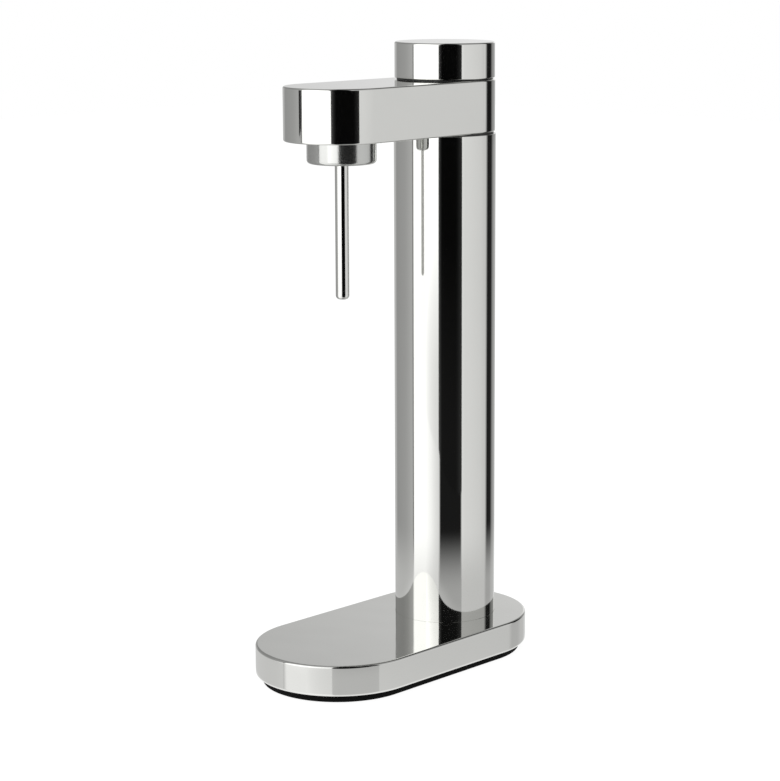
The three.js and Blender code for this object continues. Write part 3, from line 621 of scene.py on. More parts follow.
@dataclass(frozen=True)
class Circle:
    """A round outline about an upright axis."""

    radius: float
    x: float = 0.0
    y: float = 0.0
    steps: int = 128

    @classmethod
    def round(cls, extent: Extent, radius: float | None = None, steps: int = 128) -> "Circle":
        """The outline of a round node, or a circle of another radius on its axis."""
        return cls(extent.radius if radius is None else radius, extent.x, extent.y, steps)

    def ring(self, inset: float, height: float) -> list[Vector]:
        """The outline's points.

        Args:
            inset: How far they are drawn in.
            height: Their level.

        Returns:
            The points.
        """
        reach = self.radius - inset
        points = []
        for i in range(self.steps):
            a = math.tau * i / self.steps
            x, y = self.x + reach * math.cos(a), self.y + reach * math.sin(a)
            points.append(Vector((x, y, height)))
        return points


@dataclass(frozen=True)
class Stadium:
    """An outline with round ends, long along Y and centred on the Z axis."""

    radius: float
    spacing: float
    steps: int = 96

    @classmethod
    def long(cls, extent: Extent) -> "Stadium":
        """The outline of a round-ended node, from its box."""
        return cls(extent.radius, extent.length - 2 * extent.radius)

    def ring(self, inset: float, height: float) -> list[Vector]:
        """The outline's points.

        Args:
            inset: How far they are drawn in.
            height: Their level.

        Returns:
            The points.
        """
        reach = self.radius - inset
        points = []
        for side in (1.0, -1.0):
            for i in range(self.steps + 1):
                a = math.pi * i / self.steps
                x, y = side * reach * math.cos(a), side * (self.spacing / 2 + reach * math.sin(a))
                points.append(Vector((x, y, height)))
        return points


Outline = Circle | Stadium


def quarter(inset: float, height: float, across: float, rise: float, steps: int = 6) -> Profile:
    """A quarter of an ellipse in a profile, from beside its centre to above or below it."""
    turns = [math.pi / 2 * i / steps for i in range(steps + 1)]
    return [(inset + across * math.cos(a), height + rise * math.sin(a)) for a in turns]


def wall(bottom: float, top: float, lower_edge: float, upper_edge: float) -> Profile:
    """The wall of a block with rounded edges.

    Args:
        bottom: The block's lower face.
        top: Its upper face.
        lower_edge: The radius of the lower edge.
        upper_edge: The radius of the upper edge.

    Returns:
        The profile from the lower to the upper face.
    """
    lower = quarter(lower_edge, bottom + lower_edge, -lower_edge, -lower_edge)
    upper = quarter(upper_edge, top - upper_edge, -upper_edge, upper_edge)
    return [*reversed(lower), *upper]


class Former:
    """Forms one piece's mesh from rings of points."""

    sharp_angle = math.radians(32)
    flat_face_weight = 100

    def __init__(self) -> None:
        """Starts an empty mesh."""
        self.mesh = bmesh.new()

    def ring(self, points: Iterable[Vector]) -> Ring:
        """Adds one ring of points."""
        return [self.mesh.verts.new(point) for point in points]

    def bridge(self, first: Ring, second: Ring) -> None:
        """Joins two rings with a band of faces.

        Args:
            first: One ring.
            second: The other, which has as many points.
        """
        count = len(first)
        for i in range(count):
            j = (i + 1) % count
            self.mesh.faces.new((first[i], first[j], second[j], second[i]))

    def cover(self, *rings: Ring) -> None:
        """Fills a flat space.

        Args:
            rings: The ring round it, and the rings of its holes if it has any.
        """
        if len(rings) == 1:
            self.mesh.faces.new(rings[0])
            return
        edges = []
        for ring in rings:
            for i, vertex in enumerate(ring):
                pair = (vertex, ring[(i + 1) % len(ring)])
                edges.append(self.mesh.edges.get(pair) or self.mesh.edges.new(pair))
        bmesh.ops.triangle_fill(self.mesh, use_beauty=True, edges=edges)

    def loft(self, sections: Sequence[Ring]) -> None:
        """Joins rings one after the other and covers both ends.

        Args:
            sections: The rings, which have as many points as each other.
        """
        for first, second in pairwise(sections):
            self.bridge(first, second)
        self.cover(sections[0])
        self.cover(sections[-1])

    def skin(self, outline: Outline, profile: Profile, closed: bool = False) -> tuple[Ring, Ring]:
        """Sweeps a profile round an outline.

        Args:
            outline: The outline.
            profile: Points of inset from the outline and height.
            closed: Whether the last point joins the first.

        Returns:
            The first and the last ring.
        """
        rings = [self.ring(outline.ring(inset, height)) for inset, height in profile]
        for first, second in pairwise(rings):
            self.bridge(first, second)
        if closed:
            self.bridge(rings[-1], rings[0])
        return rings[0], rings[-1]

    def solid(self, outline: Outline, profile: Profile) -> None:
        """Sweeps a profile round an outline and covers both ends."""
        for ring in self.skin(outline, profile):
            self.cover(ring)

    def tube(self, outline: Outline, profile: Profile, through: float) -> None:
        """Sweeps a profile from one end of a straight bore to the other, and closes it there."""
        low, high = profile[0][1], profile[-1][1]
        self.skin(outline, [(through, low), *profile, (through, high)], closed=True)

    def shell(
        self,
        outline: Outline,
        outside: Profile,
        inside: Profile,
        hole: tuple[Circle, Profile] | None = None,
    ) -> None:
        """A shell that is open below.

        Args:
            outline: The outer outline.
            outside: The outer wall's profile, from the foot to the top.
            inside: The inner wall's profile, from the ceiling to the foot.
            hole: The outline of a hole in the top and its profile, from the top to the ceiling.
        """
        foot, crown = self.skin(outline, outside)
        edges = self.skin(*hole) if hole else ()
        roof, rim = self.skin(outline, inside)
        self.cover(crown, *edges[:1])
        self.cover(roof, *edges[1:])
        self.bridge(rim, foot)

    def piece(self, name: str, finish: Finish, body: Body, *nodes: str) -> bpy.types.Object:
        """Ends the mesh and puts it in the scene.

        Args:
            name: The piece's name.
            finish: Its finish.
            body: The body that it rides on.
            nodes: The nodes of the frame that it stands for.

        Returns:
            The piece.
        """
        bmesh.ops.recalc_face_normals(self.mesh, faces=self.mesh.faces)
        for face in self.mesh.faces:
            face.smooth = True
        for edge in self.mesh.edges:
            edge.smooth = edge.calc_face_angle(math.pi) < self.sharp_angle
        data = bpy.data.meshes.new(name)
        self.mesh.to_mesh(data)
        self.mesh.free()
        made = show(name, data)
        data.materials.append(finish.material())
        weighted = made.modifiers.new("flat faces first", "WEIGHTED_NORMAL")
        weighted.weight = self.flat_face_weight
        weighted.keep_sharp = True
        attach(made, body.value)
        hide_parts(*nodes)
        LOG.info("built %s in %s", name, finish.name)
        return made


def dress(finish: Finish, *nodes: str) -> None:
    """Gives nodes of the frame whose shape stays a finish.

    Args:
        finish: The finish.
        nodes: The nodes' names.
    """
    for node in nodes:
        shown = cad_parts[node]
        shown.data.materials.clear()
        shown.data.materials.append(finish.material())
        LOG.info("dressed %s in %s", node, finish.name)


@dataclass(frozen=True)
class Base:
    """The foot pad, the long oval shell on it, and the weight and flange inside."""

    shell_wall: float = 0.0024
    top_plate: float = 0.003
    lower_edge: float = 0.002
    top_edge: float = 0.0016
    hole_gap: float = 0.00004
    hole_chamfer: float = 0.00015
    boss_radius: float = 0.004
    boss_lift: float = 0.004
    boss_steps: int = 32
    pad_bore: float = 0.0329
    pad_edge: float = 0.0008

    def build(self) -> None:
        """Builds and dresses the base."""
        self.shell()
        self.pad()
        dress(IRON, "base_weight")
        dress(MACHINED, "column_flange")

    def shell(self) -> None:
        """The polished shell, open below, with a hole for the column and bosses for screws."""
        box = Extent.of("base_shell")
        column = Extent.of("column_tube")
        ceiling = box.top - self.top_plate
        outside = wall(box.bottom, box.top, self.lower_edge, self.top_edge)
        inside = [(self.shell_wall, ceiling), (self.shell_wall, box.bottom)]
        cut = self.hole_chamfer
        hole = Circle.round(column, column.radius + self.hole_gap)
        chamfer = [(-cut, box.top), (0.0, box.top - cut), (0.0, ceiling)]
        form = Former()
        form.shell(Stadium.long(box), outside, inside, (hole, chamfer))
        for node in numbered("base_screw"):
            screw = Extent.of(node)
            boss = Circle.round(screw, self.boss_radius, self.boss_steps)
            form.solid(boss, [(0.0, screw.bottom + self.boss_lift), (0.0, ceiling)])
        form.piece("shell_of_base", PRESSED, Body.STAND, "base_shell")

    def pad(self) -> None:
        """The rubber pad, with a hole for the gas cylinder."""
        box = Extent.of("foot_pad")
        outside = wall(box.bottom, box.top, self.pad_edge, self.pad_edge)
        hole = Circle.round(Extent.of("column_tube"), self.pad_bore)
        form = Former()
        foot, crown = form.skin(Stadium.long(box), outside)
        mouth, throat = form.skin(hole, [(0.0, box.bottom), (0.0, box.top)])
        form.cover(foot, mouth)
        form.cover(crown, throat)
        form.piece("pad_under_base", FOOT_RUBBER, Body.STAND, "foot_pad")


@dataclass(frozen=True)
class Column:
    """The polished column, the seam over it and the sleeve that guides the gas cylinder."""

    steps: int = 160
    tube_wall: float = 0.0016
    tube_edge: float = 0.0003
    guide_bore: float = 0.0307
    guide_radius: float = 0.0326
    guide_lead: float = 0.0008
    guide_flange: float = 0.0012

    def build(self) -> None:
        """Builds and dresses the column."""
        self.tube()
        self.guide()
        dress(BLACK_PLASTIC, "head_ring")

    def tube(self) -> None:
        """The column's tube."""
        box = Extent.of("column_tube")
        outside = wall(box.bottom, box.top, self.tube_edge, self.tube_edge)
        form = Former()
        form.tube(Circle.round(box, steps=self.steps), outside, self.tube_wall)
        form.piece("tube_of_column", POLISHED, Body.STAND, "column_tube")

    def guide(self) -> None:
        """The guide sleeve, with a flange at the foot and bevels that lead the cylinder in."""
        box = Extent.of("cylinder_guide")
        flange = box.radius - self.guide_radius
        bore = box.radius - self.guide_bore
        lead = self.guide_lead
        step = box.bottom + self.guide_flange
        foot = [(bore - lead, box.bottom), (0.0, box.bottom), (0.0, step), (flange, step)]
        head = [(flange, box.top - lead), (flange + lead, box.top), (bore, box.top)]
        form = Former()
        form.skin(Circle.round(box), [*foot, *head, (bore, box.bottom + lead)], closed=True)
        form.piece("guide_sleeve", BLACK_PLASTIC, Body.STAND, "cylinder_guide")


@dataclass(frozen=True)
class Head:
    """The long head with round ends, open below, and the plate that closes it."""

    shell_wall: float = 0.002
    edge: float = 0.0012
    bush_hole: float = 0.0083
    bush_steps: int = 64
    post_radius: float = 0.0034
    post_gap: float = 0.0003
    post_steps: int = 32

    def build(self) -> None:
        """Builds and dresses the head."""
        self.shell()
        dress(POLISHED, "head_plate")

    def shell(self) -> None:
        """The polished shell, with a hole for the spindle's bush and posts for the screws."""
        box = Extent.of("head_shell")
        plate = Extent.of("head_plate")
        ceiling = box.top - self.shell_wall
        outside = wall(box.bottom, box.top, self.edge, self.edge)
        inside = [(self.shell_wall, ceiling), (self.shell_wall, box.bottom)]
        hole = Circle.round(Extent.of("spindle_bush"), self.bush_hole, self.bush_steps)
        form = Former()
        through = [(0.0, box.top), (0.0, ceiling)]
        form.shell(Stadium.long(box), outside, inside, (hole, through))
        for node in numbered("head_screw"):
            post = Circle.round(Extent.of(node), self.post_radius, self.post_steps)
            form.solid(post, [(0.0, plate.top + self.post_gap), (0.0, ceiling)])
        form.piece("shell_of_head", POLISHED, Body.STAND, "head_shell")


@dataclass(frozen=True)
class Knob:
    """The round knob: a polished cap on a core, on the cam's spindle."""

    steps: int = 160
    cap_wall: float = 0.002
    cap_plate: float = 0.0024
    top_edge: float = 0.0012
    lower_edge: float = 0.0006

    def build(self) -> None:
        """Builds and dresses the knob."""
        self.cap()
        dress(WHITE_PLASTIC, "knob_core")
        dress(BLACK_PLASTIC, "knob_glide_ring")
        dress(MACHINED, "cam_spindle", "knob_washer", "bush_locknut")
        dress(BRASS, "spindle_bush")

    def cap(self) -> None:
        """The polished cap, open below."""
        box = Extent.of("knob_cap")
        outside = wall(box.bottom, box.top, self.lower_edge, self.top_edge)
        inside = [(self.cap_wall, box.top - self.cap_plate), (self.cap_wall, box.bottom)]
        form = Former()
        form.shell(Circle.round(box, steps=self.steps), outside, inside)
        form.piece("cap_of_knob", POLISHED, Body.KNOB, "knob_cap")


@dataclass(frozen=True)
class BottleSocket:
    """The collar under the nose, the socket for the bottle's neck, and the nozzle tube.

    The lug_lead is the share of a lug's height over which it slopes, and a higher
    lug_squareness makes its ends steeper. The seal's lips stand at shares of its width.
    """

    collar_bore: float = 0.0196
    collar_neck: float = 0.021
    collar_edge: float = 0.0024
    collar_lip: float = 0.0008
    collar_lip_steps: int = 4
    insert_bore: float = 0.017
    insert_chamfer: float = 0.0006
    lug_count: int = 3
    lug_steps: int = 10
    lug_degrees: float = 32.0
    lug_reach: float = 0.0014
    lug_rise: float = 0.002
    lug_height: float = 0.003
    lug_lead: float = 0.3
    lug_squareness: int = 6
    seal_bore: float = 0.0115
    seal_lip: float = 0.0007
    seal_lip_places: tuple[float, float] = (0.75, 0.25)
    seal_lip_steps: int = 8
    nozzle_steps: int = 64
    ring_bore: float = 0.0048
    tube_bore: float = 0.0032
    tip_edge: float = 0.0028
    tip_jet: float = 0.0006
    tip_stub: float = 0.0029
    tip_seam: float = 0.00006
    round_steps: int = 10
    fine_edge: float = 0.0003

    def build(self) -> None:
        """Builds and dresses the bottle's socket."""
        self.collar()
        self.insert()
        self.seal()
        self.nozzle_tube()
        self.nozzle_tip()
        self.nozzle_ring()
        dress(WHITE_PLASTIC, "nozzle_holder")
        dress(BRASS, "collar_nut", "inlet_elbow")

    def collar(self) -> None:
        """The steel collar, with a round lower edge."""
        box = Extent.of("bottle_collar")
        shoulder = Extent.of("head_shell").bottom
        bore = box.radius - self.collar_bore
        neck = box.radius - self.collar_neck
        edge, lip = self.collar_edge, self.collar_lip
        lower = quarter(edge, box.bottom + edge, -edge, -edge, self.round_steps)
        mouth = quarter(bore - lip, box.bottom + lip, lip, -lip, self.collar_lip_steps)
        upper = [(0.0, shoulder), (neck, shoulder), (neck, box.top), (bore, box.top)]
        form = Former()
        form.skin(Circle.round(box), [*mouth, *reversed(lower), *upper], closed=True)
        form.piece("collar_of_socket", SATIN, Body.STAND, "bottle_collar")

    def insert(self) -> None:
        """The plastic insert, with lugs that hold the bottle's neck."""
        box = Extent.of("bottle_insert")
        bore = box.radius - self.insert_bore
        cut = self.insert_chamfer
        outside = [(bore - cut, box.bottom), (cut, box.bottom), (0.0, box.bottom + cut)]
        inside = [(0.0, box.top), (bore, box.top), (bore, box.bottom + cut)]
        form = Former()
        form.skin(Circle.round(box), [*outside, *inside], closed=True)
        for i in range(self.lug_count):
            self.lug(form, box, math.tau * i / self.lug_count)
        form.piece("insert_of_socket", BLACK_PLASTIC, Body.STAND, "bottle_insert")

    def lug(self, form: Former, box: Extent, middle: float) -> None:
        """Adds one lug inside the insert.

        Args:
            form: The insert's mesh.
            box: The insert's box.
            middle: The angle of the lug's middle.
        """
        half = math.radians(self.lug_degrees) / 2
        centre = Vector((box.x, box.y, 0.0))
        bottom = box.bottom + self.lug_rise
        slope_end, top = bottom + self.lug_lead * self.lug_height, bottom + self.lug_height
        sections = []
        for i in range(self.lug_steps + 1):
            share = 2 * i / self.lug_steps - 1
            angle = middle + half * share
            axis = Vector((math.cos(angle), math.sin(angle), 0.0))
            foot = self.insert_bore
            face = foot - self.lug_reach * (1 - share**self.lug_squareness)
            corners = [(foot, bottom), (face, slope_end), (face, top), (foot, top)]
            sections.append(form.ring(centre + axis * r + z * UPWARDS for r, z in corners))
        form.loft(sections)

    def seal(self) -> None:
        """The silicone ring that the bottle's mouth presses on, with two round lips."""
        box = Extent.of("mouth_seal")
        bore = box.radius - self.seal_bore
        lip = self.seal_lip
        face = box.bottom + lip
        arc = [math.pi * i / self.seal_lip_steps for i in range(self.seal_lip_steps + 1)]
        inner, outer = (
            [(share * bore + lip * math.cos(a), face - lip * math.sin(a)) for a in arc]
            for share in self.seal_lip_places
        )
        lower = [(bore, face), *inner, (bore / 2, face), *outer, (0.0, face)]
        form = Former()
        form.skin(Circle.round(box), [*lower, (0.0, box.top), (bore, box.top)], closed=True)
        form.piece("seal_for_mouth", SILICONE, Body.STAND, "mouth_seal")

    def nozzle_tube(self) -> None:
        """The nozzle's tube."""
        box = Extent.of("nozzle_tube")
        outside = wall(box.bottom, box.top, self.tip_seam, self.fine_edge)
        form = Former()
        outline = Circle.round(box, steps=self.nozzle_steps)
        form.tube(outline, outside, box.radius - self.tube_bore)
        form.piece("tube_of_nozzle", POLISHED, Body.STAND, "nozzle_tube")

    def nozzle_tip(self) -> None:
        """The nozzle's rounded tip, with a stub that goes up into the tube."""
        box = Extent.of("nozzle_tip")
        seat = Extent.of("nozzle_tube").bottom
        edge, seam = self.tip_edge, self.tip_seam
        stub = box.radius - self.tip_stub
        lower = quarter(edge, box.bottom + edge, -edge, -edge, self.round_steps)
        shoulder = [(0.0, seat - seam), (seam, seat), (stub, seat), (stub, box.top)]
        form = Former()
        outline = Circle.round(box, steps=self.nozzle_steps)
        form.tube(outline, [*reversed(lower), *shoulder], box.radius - self.tip_jet)
        form.piece("tip_of_nozzle", POLISHED, Body.STAND, "nozzle_tip")

    def nozzle_ring(self) -> None:
        """The ring that holds the nozzle's tube."""
        box = Extent.of("nozzle_ring")
        outside = wall(box.bottom, box.top, self.fine_edge, self.fine_edge)
        form = Former()
        outline = Circle.round(box, steps=self.nozzle_steps)
        form.tube(outline, outside, box.radius - self.ring_bore)
        form.piece("ring_of_nozzle", MACHINED, Body.STAND, "nozzle_ring")


@dataclass(frozen=True)
class GasCylinder:
    """The refillable gas cylinder with its brass valve.

    The dished foot has a flat middle of the dish_radius, and slopes out to the dish_inset from
    the outside. The thread's flank and crest are shares of its pitch, from the middle of a turn.
    """

    heel: float = 0.007
    heel_steps: int = 10
    dish_radius: float = 0.0056
    dish_depth: float = 0.004
    dish_inset: float = 0.014
    dish_edge_depth: float = 0.0016
    shoulder: float = 0.034
    shoulder_steps: int = 16
    neck_radius: float = 0.014
    neck_height: float = 0.008
    valve_steps: int = 96
    valve_edge: float = 0.0005
    thread_radius: float = 0.0104
    thread_length: float = 0.022
    thread_pitch: float = 0.0018
    thread_depth: float = 0.0006
    thread_flank: float = 0.45
    thread_crest: float = 0.1
    nose_width: float = 0.0012
    nose_height: float = 0.0006
    pin_hole: float = 0.0019
    pin_hole_depth: float = 0.006

    def build(self) -> None:
        """Builds and dresses the gas cylinder."""
        self.body()
        self.valve()
        dress(MACHINED, "cylinder_pin")

    def body(self) -> None:
        """The painted cylinder: a dished foot, a rounded heel, a domed shoulder and a neck."""
        box = Extent.of("gas_cylinder")
        neck = box.radius - self.neck_radius
        straight = box.top - self.neck_height - self.shoulder
        foot = [
            (box.radius - self.dish_radius, box.bottom + self.dish_depth),
            (self.dish_inset, box.bottom + self.dish_edge_depth),
        ]
        heel = quarter(self.heel, box.bottom + self.heel, -self.heel, -self.heel, self.heel_steps)
        dome = quarter(neck, straight, -neck, self.shoulder, self.shoulder_steps)
        form = Former()
        form.solid(Circle.round(box), [*foot, *reversed(heel), *dome, (neck, box.top)])
        form.piece("body_of_cylinder", COAT, Body.CYLINDER, "gas_cylinder")

    def valve(self) -> None:
        """The brass valve, with a screw thread and the hole that its pin looks out of."""
        box = Extent.of("cylinder_valve")
        foot = Extent.of("gas_cylinder").top
        edge, depth, pitch = self.valve_edge, self.thread_depth, self.thread_pitch
        thread = box.radius - self.thread_radius
        hole = box.radius - self.pin_hole
        start = box.top - self.thread_length
        shank = [(edge, foot), (0.0, foot + edge), (0.0, start - depth), (depth, start)]
        ridges = []
        for i in range(1, int(self.thread_length / pitch)):
            level = start + i * pitch
            ridges += [
                (thread + depth, level - self.thread_flank * pitch),
                (thread, level - self.thread_crest * pitch),
                (thread, level + self.thread_crest * pitch),
            ]
        nose = [
            (thread + depth, box.top - self.nose_height),
            (thread + self.nose_width, box.top),
            (hole, box.top),
            (hole, box.top - self.pin_hole_depth),
        ]
        form = Former()
        outline = Circle.round(box, steps=self.valve_steps)
        form.solid(outline, [*shank, *ridges, *nose])
        form.piece("valve_of_cylinder", BRASS, Body.CYLINDER, "cylinder_valve")


@dataclass(frozen=True)
class ScrewKind:
    """One kind of machine screw with a hexagon socket.

    The shank and the key are radii, the key's to its corners. A sunk head has no chamfer on its
    underside. The chamfer and the socket's depth are shares of the head's height.
    """

    nodes: tuple[str, ...]
    body: Body
    shank: float
    head_height: float
    key: float
    points_up: bool = False
    sunk: bool = False
    steps: int = 36
    key_sides: int = 6
    key_depth: float = 0.5
    chamfer: float = 0.15
    pitch: float = 0.0005
    groove: float = 0.0002

    def build(self) -> None:
        """Builds each screw of this kind."""
        for node in self.nodes:
            self.screw(node)

    def screw(self, node: str) -> None:
        """Builds one screw.

        Args:
            node: The node of the frame that it stands for.
        """
        box = Extent.of(node)
        facing = -1.0 if self.points_up else 1.0
        crown = box.bottom if self.points_up else box.top
        tip = box.top if self.points_up else box.bottom
        seat = crown - facing * self.head_height
        floor = crown - facing * self.head_height * self.key_depth
        shank = box.radius - self.shank
        cut = self.chamfer * self.head_height
        neck = [(shank, seat)]
        if not self.sunk:
            neck += [(cut / 2, seat), (0.0, seat + facing * cut / 2)]
        rim = [(0.0, crown - facing * cut), (cut, crown)]
        form = Former()
        outside = [*self.thread(shank, tip, seat, facing), *neck, *rim]
        foot, edge = form.skin(Circle.round(box, steps=self.steps), outside)
        socket = Circle.round(box, self.key, self.key_sides)
        mouth, pit = form.skin(socket, [(0.0, crown), (0.0, floor)])
        form.cover(foot)
        form.cover(edge, mouth)
        form.cover(pit)
        form.piece(f"turned_{node}", MACHINED, self.body, node)

    def thread(self, shank: float, tip: float, seat: float, facing: float) -> Profile:
        """The grooved shank of a screw.

        Args:
            shank: The shank's inset.
            tip: The level of its end.
            seat: The level of the head's underside.
            facing: 1 where the head is above the tip, and -1 where it is below.

        Returns:
            The profile from the tip to near the head.
        """
        points = [(shank + self.groove, tip)]
        turn = 1
        while facing * (seat - tip) > (turn + 1) * self.pitch:
            level = tip + facing * turn * self.pitch
            points += [(shank, level), (shank + self.groove, level + facing * self.pitch / 2)]
            turn += 1
        return points


SCREWS = (
    ScrewKind(numbered("base_screw"), Body.STAND, 0.0015, 0.003, 0.002, points_up=True),
    ScrewKind(
        numbered("head_screw"), Body.STAND, 0.00125, 0.0013, 0.0009, points_up=True, sunk=True
    ),
    ScrewKind(numbered("block_screw"), Body.STAND, 0.0015, 0.0024, 0.0014),
    ScrewKind(("knob_screw",), Body.KNOB, 0.002, 0.0026, 0.0017),
)


@dataclass(frozen=True)
class Spring:
    """A coil spring with closed ends, wound as it is at rest.

    The wire is half its thickness, and closed_pitch is the pitch of the closed ends in
    thicknesses of the wire.
    """

    node: str
    body: Body
    wire: float
    turns: int
    joint: str | None = None
    travel: float = 0.0
    held_above: bool = False
    steps: int = 24
    sides: int = 12
    closed_turns: int = 1
    closed_pitch: float = 1.02

    def build(self) -> None:
        """Winds the spring, and gives it a mesh of its own where it has a joint."""
        box = Extent.of(self.node)
        form = Former()
        count = self.turns * self.steps + 1
        form.loft([form.ring(self.section(box, i / self.steps)) for i in range(count)])
        made = form.piece(f"coil_of_{self.node}", SPRING_STEEL, self.body, self.node)
        if self.joint:
            held = box.top if self.held_above else box.bottom
            anchor = (box.x, box.y, held)
            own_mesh(made)

    def section(self, box: Extent, turn: float) -> list[Vector]:
        """The outline of the wire at one place.

        Args:
            box: The spring's box.
            turn: The turns from the lower end.

        Returns:
            The outline's points.
        """
        reach = box.radius - self.wire
        closed = self.closed_pitch * 2 * self.wire
        height = box.top - box.bottom - 2 * self.wire
        most = self.turns - 2 * self.closed_turns
        pitch = (height - 2 * self.closed_turns * closed) / most
        open_turns = min(max(turn - self.closed_turns, 0.0), most)
        level = box.bottom + self.wire + closed * (turn - open_turns) + pitch * open_turns
        angle = math.tau * turn
        outwards = Vector((math.cos(angle), math.sin(angle), 0.0))
        centre = Vector((box.x, box.y, level)) + reach * outwards
        points = []
        for i in range(self.sides):
            a = math.tau * i / self.sides
            points.append(centre + self.wire * (math.cos(a) * outwards + math.sin(a) * UPWARDS))
        return points


SPRINGS = (
    Spring("plunger_spring", Body.STAND, 0.00045, 5, "plunger_slide", 0.0025),
    Spring("cylinder_pin_spring", Body.CYLINDER, 0.0004, 8, "pin_slide", 0.0023),
    Spring("relief_spring", Body.STAND, 0.00025, 5, "relief_lift", 0.0012, held_above=True),
    Spring("knob_return_spring", Body.STAND, 0.0005, 4),
)


class Mechanism:
    """The gas valve, the hose and the relief valve in the head, which keep their CAD shapes."""

    finishes = (
        (BRASS, ("valve_block", "relief_body", "relief_cap")),
        (SEAL_RUBBER, ("socket_gasket", "plunger_seal")),
        (MACHINED, ("valve_plunger", "relief_poppet", "hose_ferrule_rear", "hose_ferrule_front")),
        (NYLON, ("gas_hose",)),
    )

    def build(self) -> None:
        """Dresses the pieces inside the head."""
        for finish, nodes in self.finishes:
            dress(finish, *nodes)


@dataclass(frozen=True)
class Camera:
    """The photograph's camera, which stands round the column's axis.

    Angles are in degrees. The lens and the sensor are in millimetres.
    """

    azimuth: float = 42.336
    distance: float = 1.6028
    height: float = 0.49363
    pitch: float = 9.9024
    lens: float = 109.269
    sensor: float = 36.0
    shift_across: float = -0.0701
    shift_up: float = -0.06

    @property
    def front(self) -> Vector:
        """The level direction from the column to the camera."""
        turn = math.radians(self.azimuth)
        return Vector((math.sin(turn), -math.cos(turn), 0.0))

    @property
    def right(self) -> Vector:
        """The level direction that points right in the picture."""
        turn = math.radians(self.azimuth)
        return Vector((math.cos(turn), math.sin(turn), 0.0))

    def build(self) -> None:
        """Puts the camera where the photograph's was."""
        column = Extent.of("column_tube")
        data = bpy.data.cameras.new("camera")
        data.lens = self.lens
        data.sensor_width = self.sensor
        data.shift_x = self.shift_across
        data.shift_y = self.shift_up
        made = show("camera", data)
        axis = Vector((column.x, column.y, self.height))
        made.location = axis + self.distance * self.front
        level = math.radians(90.0 - self.pitch)
        made.rotation_euler = (level, 0.0, math.radians(self.azimuth))
        bpy.context.scene.camera = made

    def angle(self, graph: Graph, vector: Source) -> Signal:
        """The angle of a vector round the machine.

        Args:
            graph: The graph that holds the vector.
            vector: The vector.

        Returns:
            Radians from the direction of the camera, growing to the right of the picture.
        """
        right = graph.measure("DOT_PRODUCT", vector, tuple(self.right))
        front = graph.measure("DOT_PRODUCT", vector, tuple(self.front))
        return graph.math("ARCTAN2", right, front)


@dataclass(frozen=True)
class Card:
    """A panel of the far studio as polished steel mirrors it.

    Angles are in degrees round the machine, from the direction of the camera, and grow towards
    the right of the picture. The tone goes from the first to the last between them.
    """

    start: float
    end: float
    first: float
    last: float


@dataclass(frozen=True)
class CardRow:
    """Cards all round the machine, from the left of what is behind it to the right."""

    cards: tuple[Card, ...]
    whole_turn: float = 360.0

    def tone(self, graph: Graph, angle: Signal) -> Signal:
        """The brightness of the cards at an angle.

        Args:
            graph: The graph.
            angle: The angle in radians.

        Returns:
            The brightness.
        """
        stops = []
        for card in self.cards:
            stops.append((card.start / self.whole_turn + 0.5, card.first))
            stops.append((card.end / self.whole_turn + 0.5, card.last))
        inputs = {"Fac": angle / math.tau + 0.5}
        return graph.signal("ShaderNodeValToRGB", {"stops": stops}, inputs)


LEVEL_ROW = CardRow(
    (
        Card(-180.0, -152.0, 0.6, 0.52),
        Card(-141.0, -104.0, 0.32, 0.37),
        Card(-97.0, -78.8, 0.39, 0.47),
        Card(-78.4, -76.3, 0.04, 0.04),
        Card(-75.1, -13.5, 1.5, 1.5),
        Card(-11.0, 35.5, 0.003, 0.003),
        Card(38.5, 46.0, 0.9, 0.79),
        Card(62.0, 92.0, 0.775, 0.72),
        Card(101.0, 106.0, 0.66, 0.72),
        Card(114.0, 131.0, 0.01, 0.01),
        Card(141.0, 152.0, 0.3, 0.35),
        Card(168.0, 180.0, 0.6, 0.6),
    )
)
TABLE_ROW = CardRow(
    (
        Card(-180.0, -152.0, 0.6, 0.52),
        Card(-141.0, -104.0, 0.32, 0.37),
        Card(-97.0, -78.8, 0.39, 0.47),
        Card(-78.4, -76.3, 0.05, 0.05),
        Card(-75.1, -42.0, 1.3, 1.26),
        Card(-31.0, -24.0, 1.1, 0.96),
        Card(-17.0, -13.0, 0.86, 0.8),
        Card(-10.5, 37.0, 0.011, 0.011),
        Card(40.0, 46.0, 0.85, 0.78),
        Card(62.0, 92.0, 0.765, 0.71),
        Card(101.0, 106.0, 0.66, 0.66),
        Card(114.0, 131.0, 0.012, 0.02),
        Card(141.0, 152.0, 0.32, 0.4),
        Card(168.0, 180.0, 0.6, 0.6),
    )
)
RAISED_ROW = CardRow(
    (
        Card(-180.0, -112.0, 0.28, 0.28),
        Card(-96.0, -79.0, 0.33, 0.48),
        Card(-75.4, -40.0, 1.46, 1.44),
        Card(-26.0, -13.0, 1.25, 1.0),
        Card(-10.5, 35.5, 0.004, 0.004),
        Card(39.0, 104.0, 0.5, 0.46),
        Card(112.0, 128.0, 0.012, 0.012),
        Card(138.0, 180.0, 0.25, 0.3),
    )
)
OVERHEAD_ROW = CardRow(
    (
        Card(-180.0, -100.0, 0.34, 0.34),
        Card(-96.0, -79.0, 0.34, 0.34),
        Card(-75.4, -15.0, 0.6, 0.5),
        Card(-8.0, 34.0, 0.0, 0.0),
        Card(42.0, 104.0, 0.2, 0.16),
        Card(112.0, 128.0, 0.01, 0.01),
        Card(138.0, 180.0, 0.1, 0.12),
    )
)


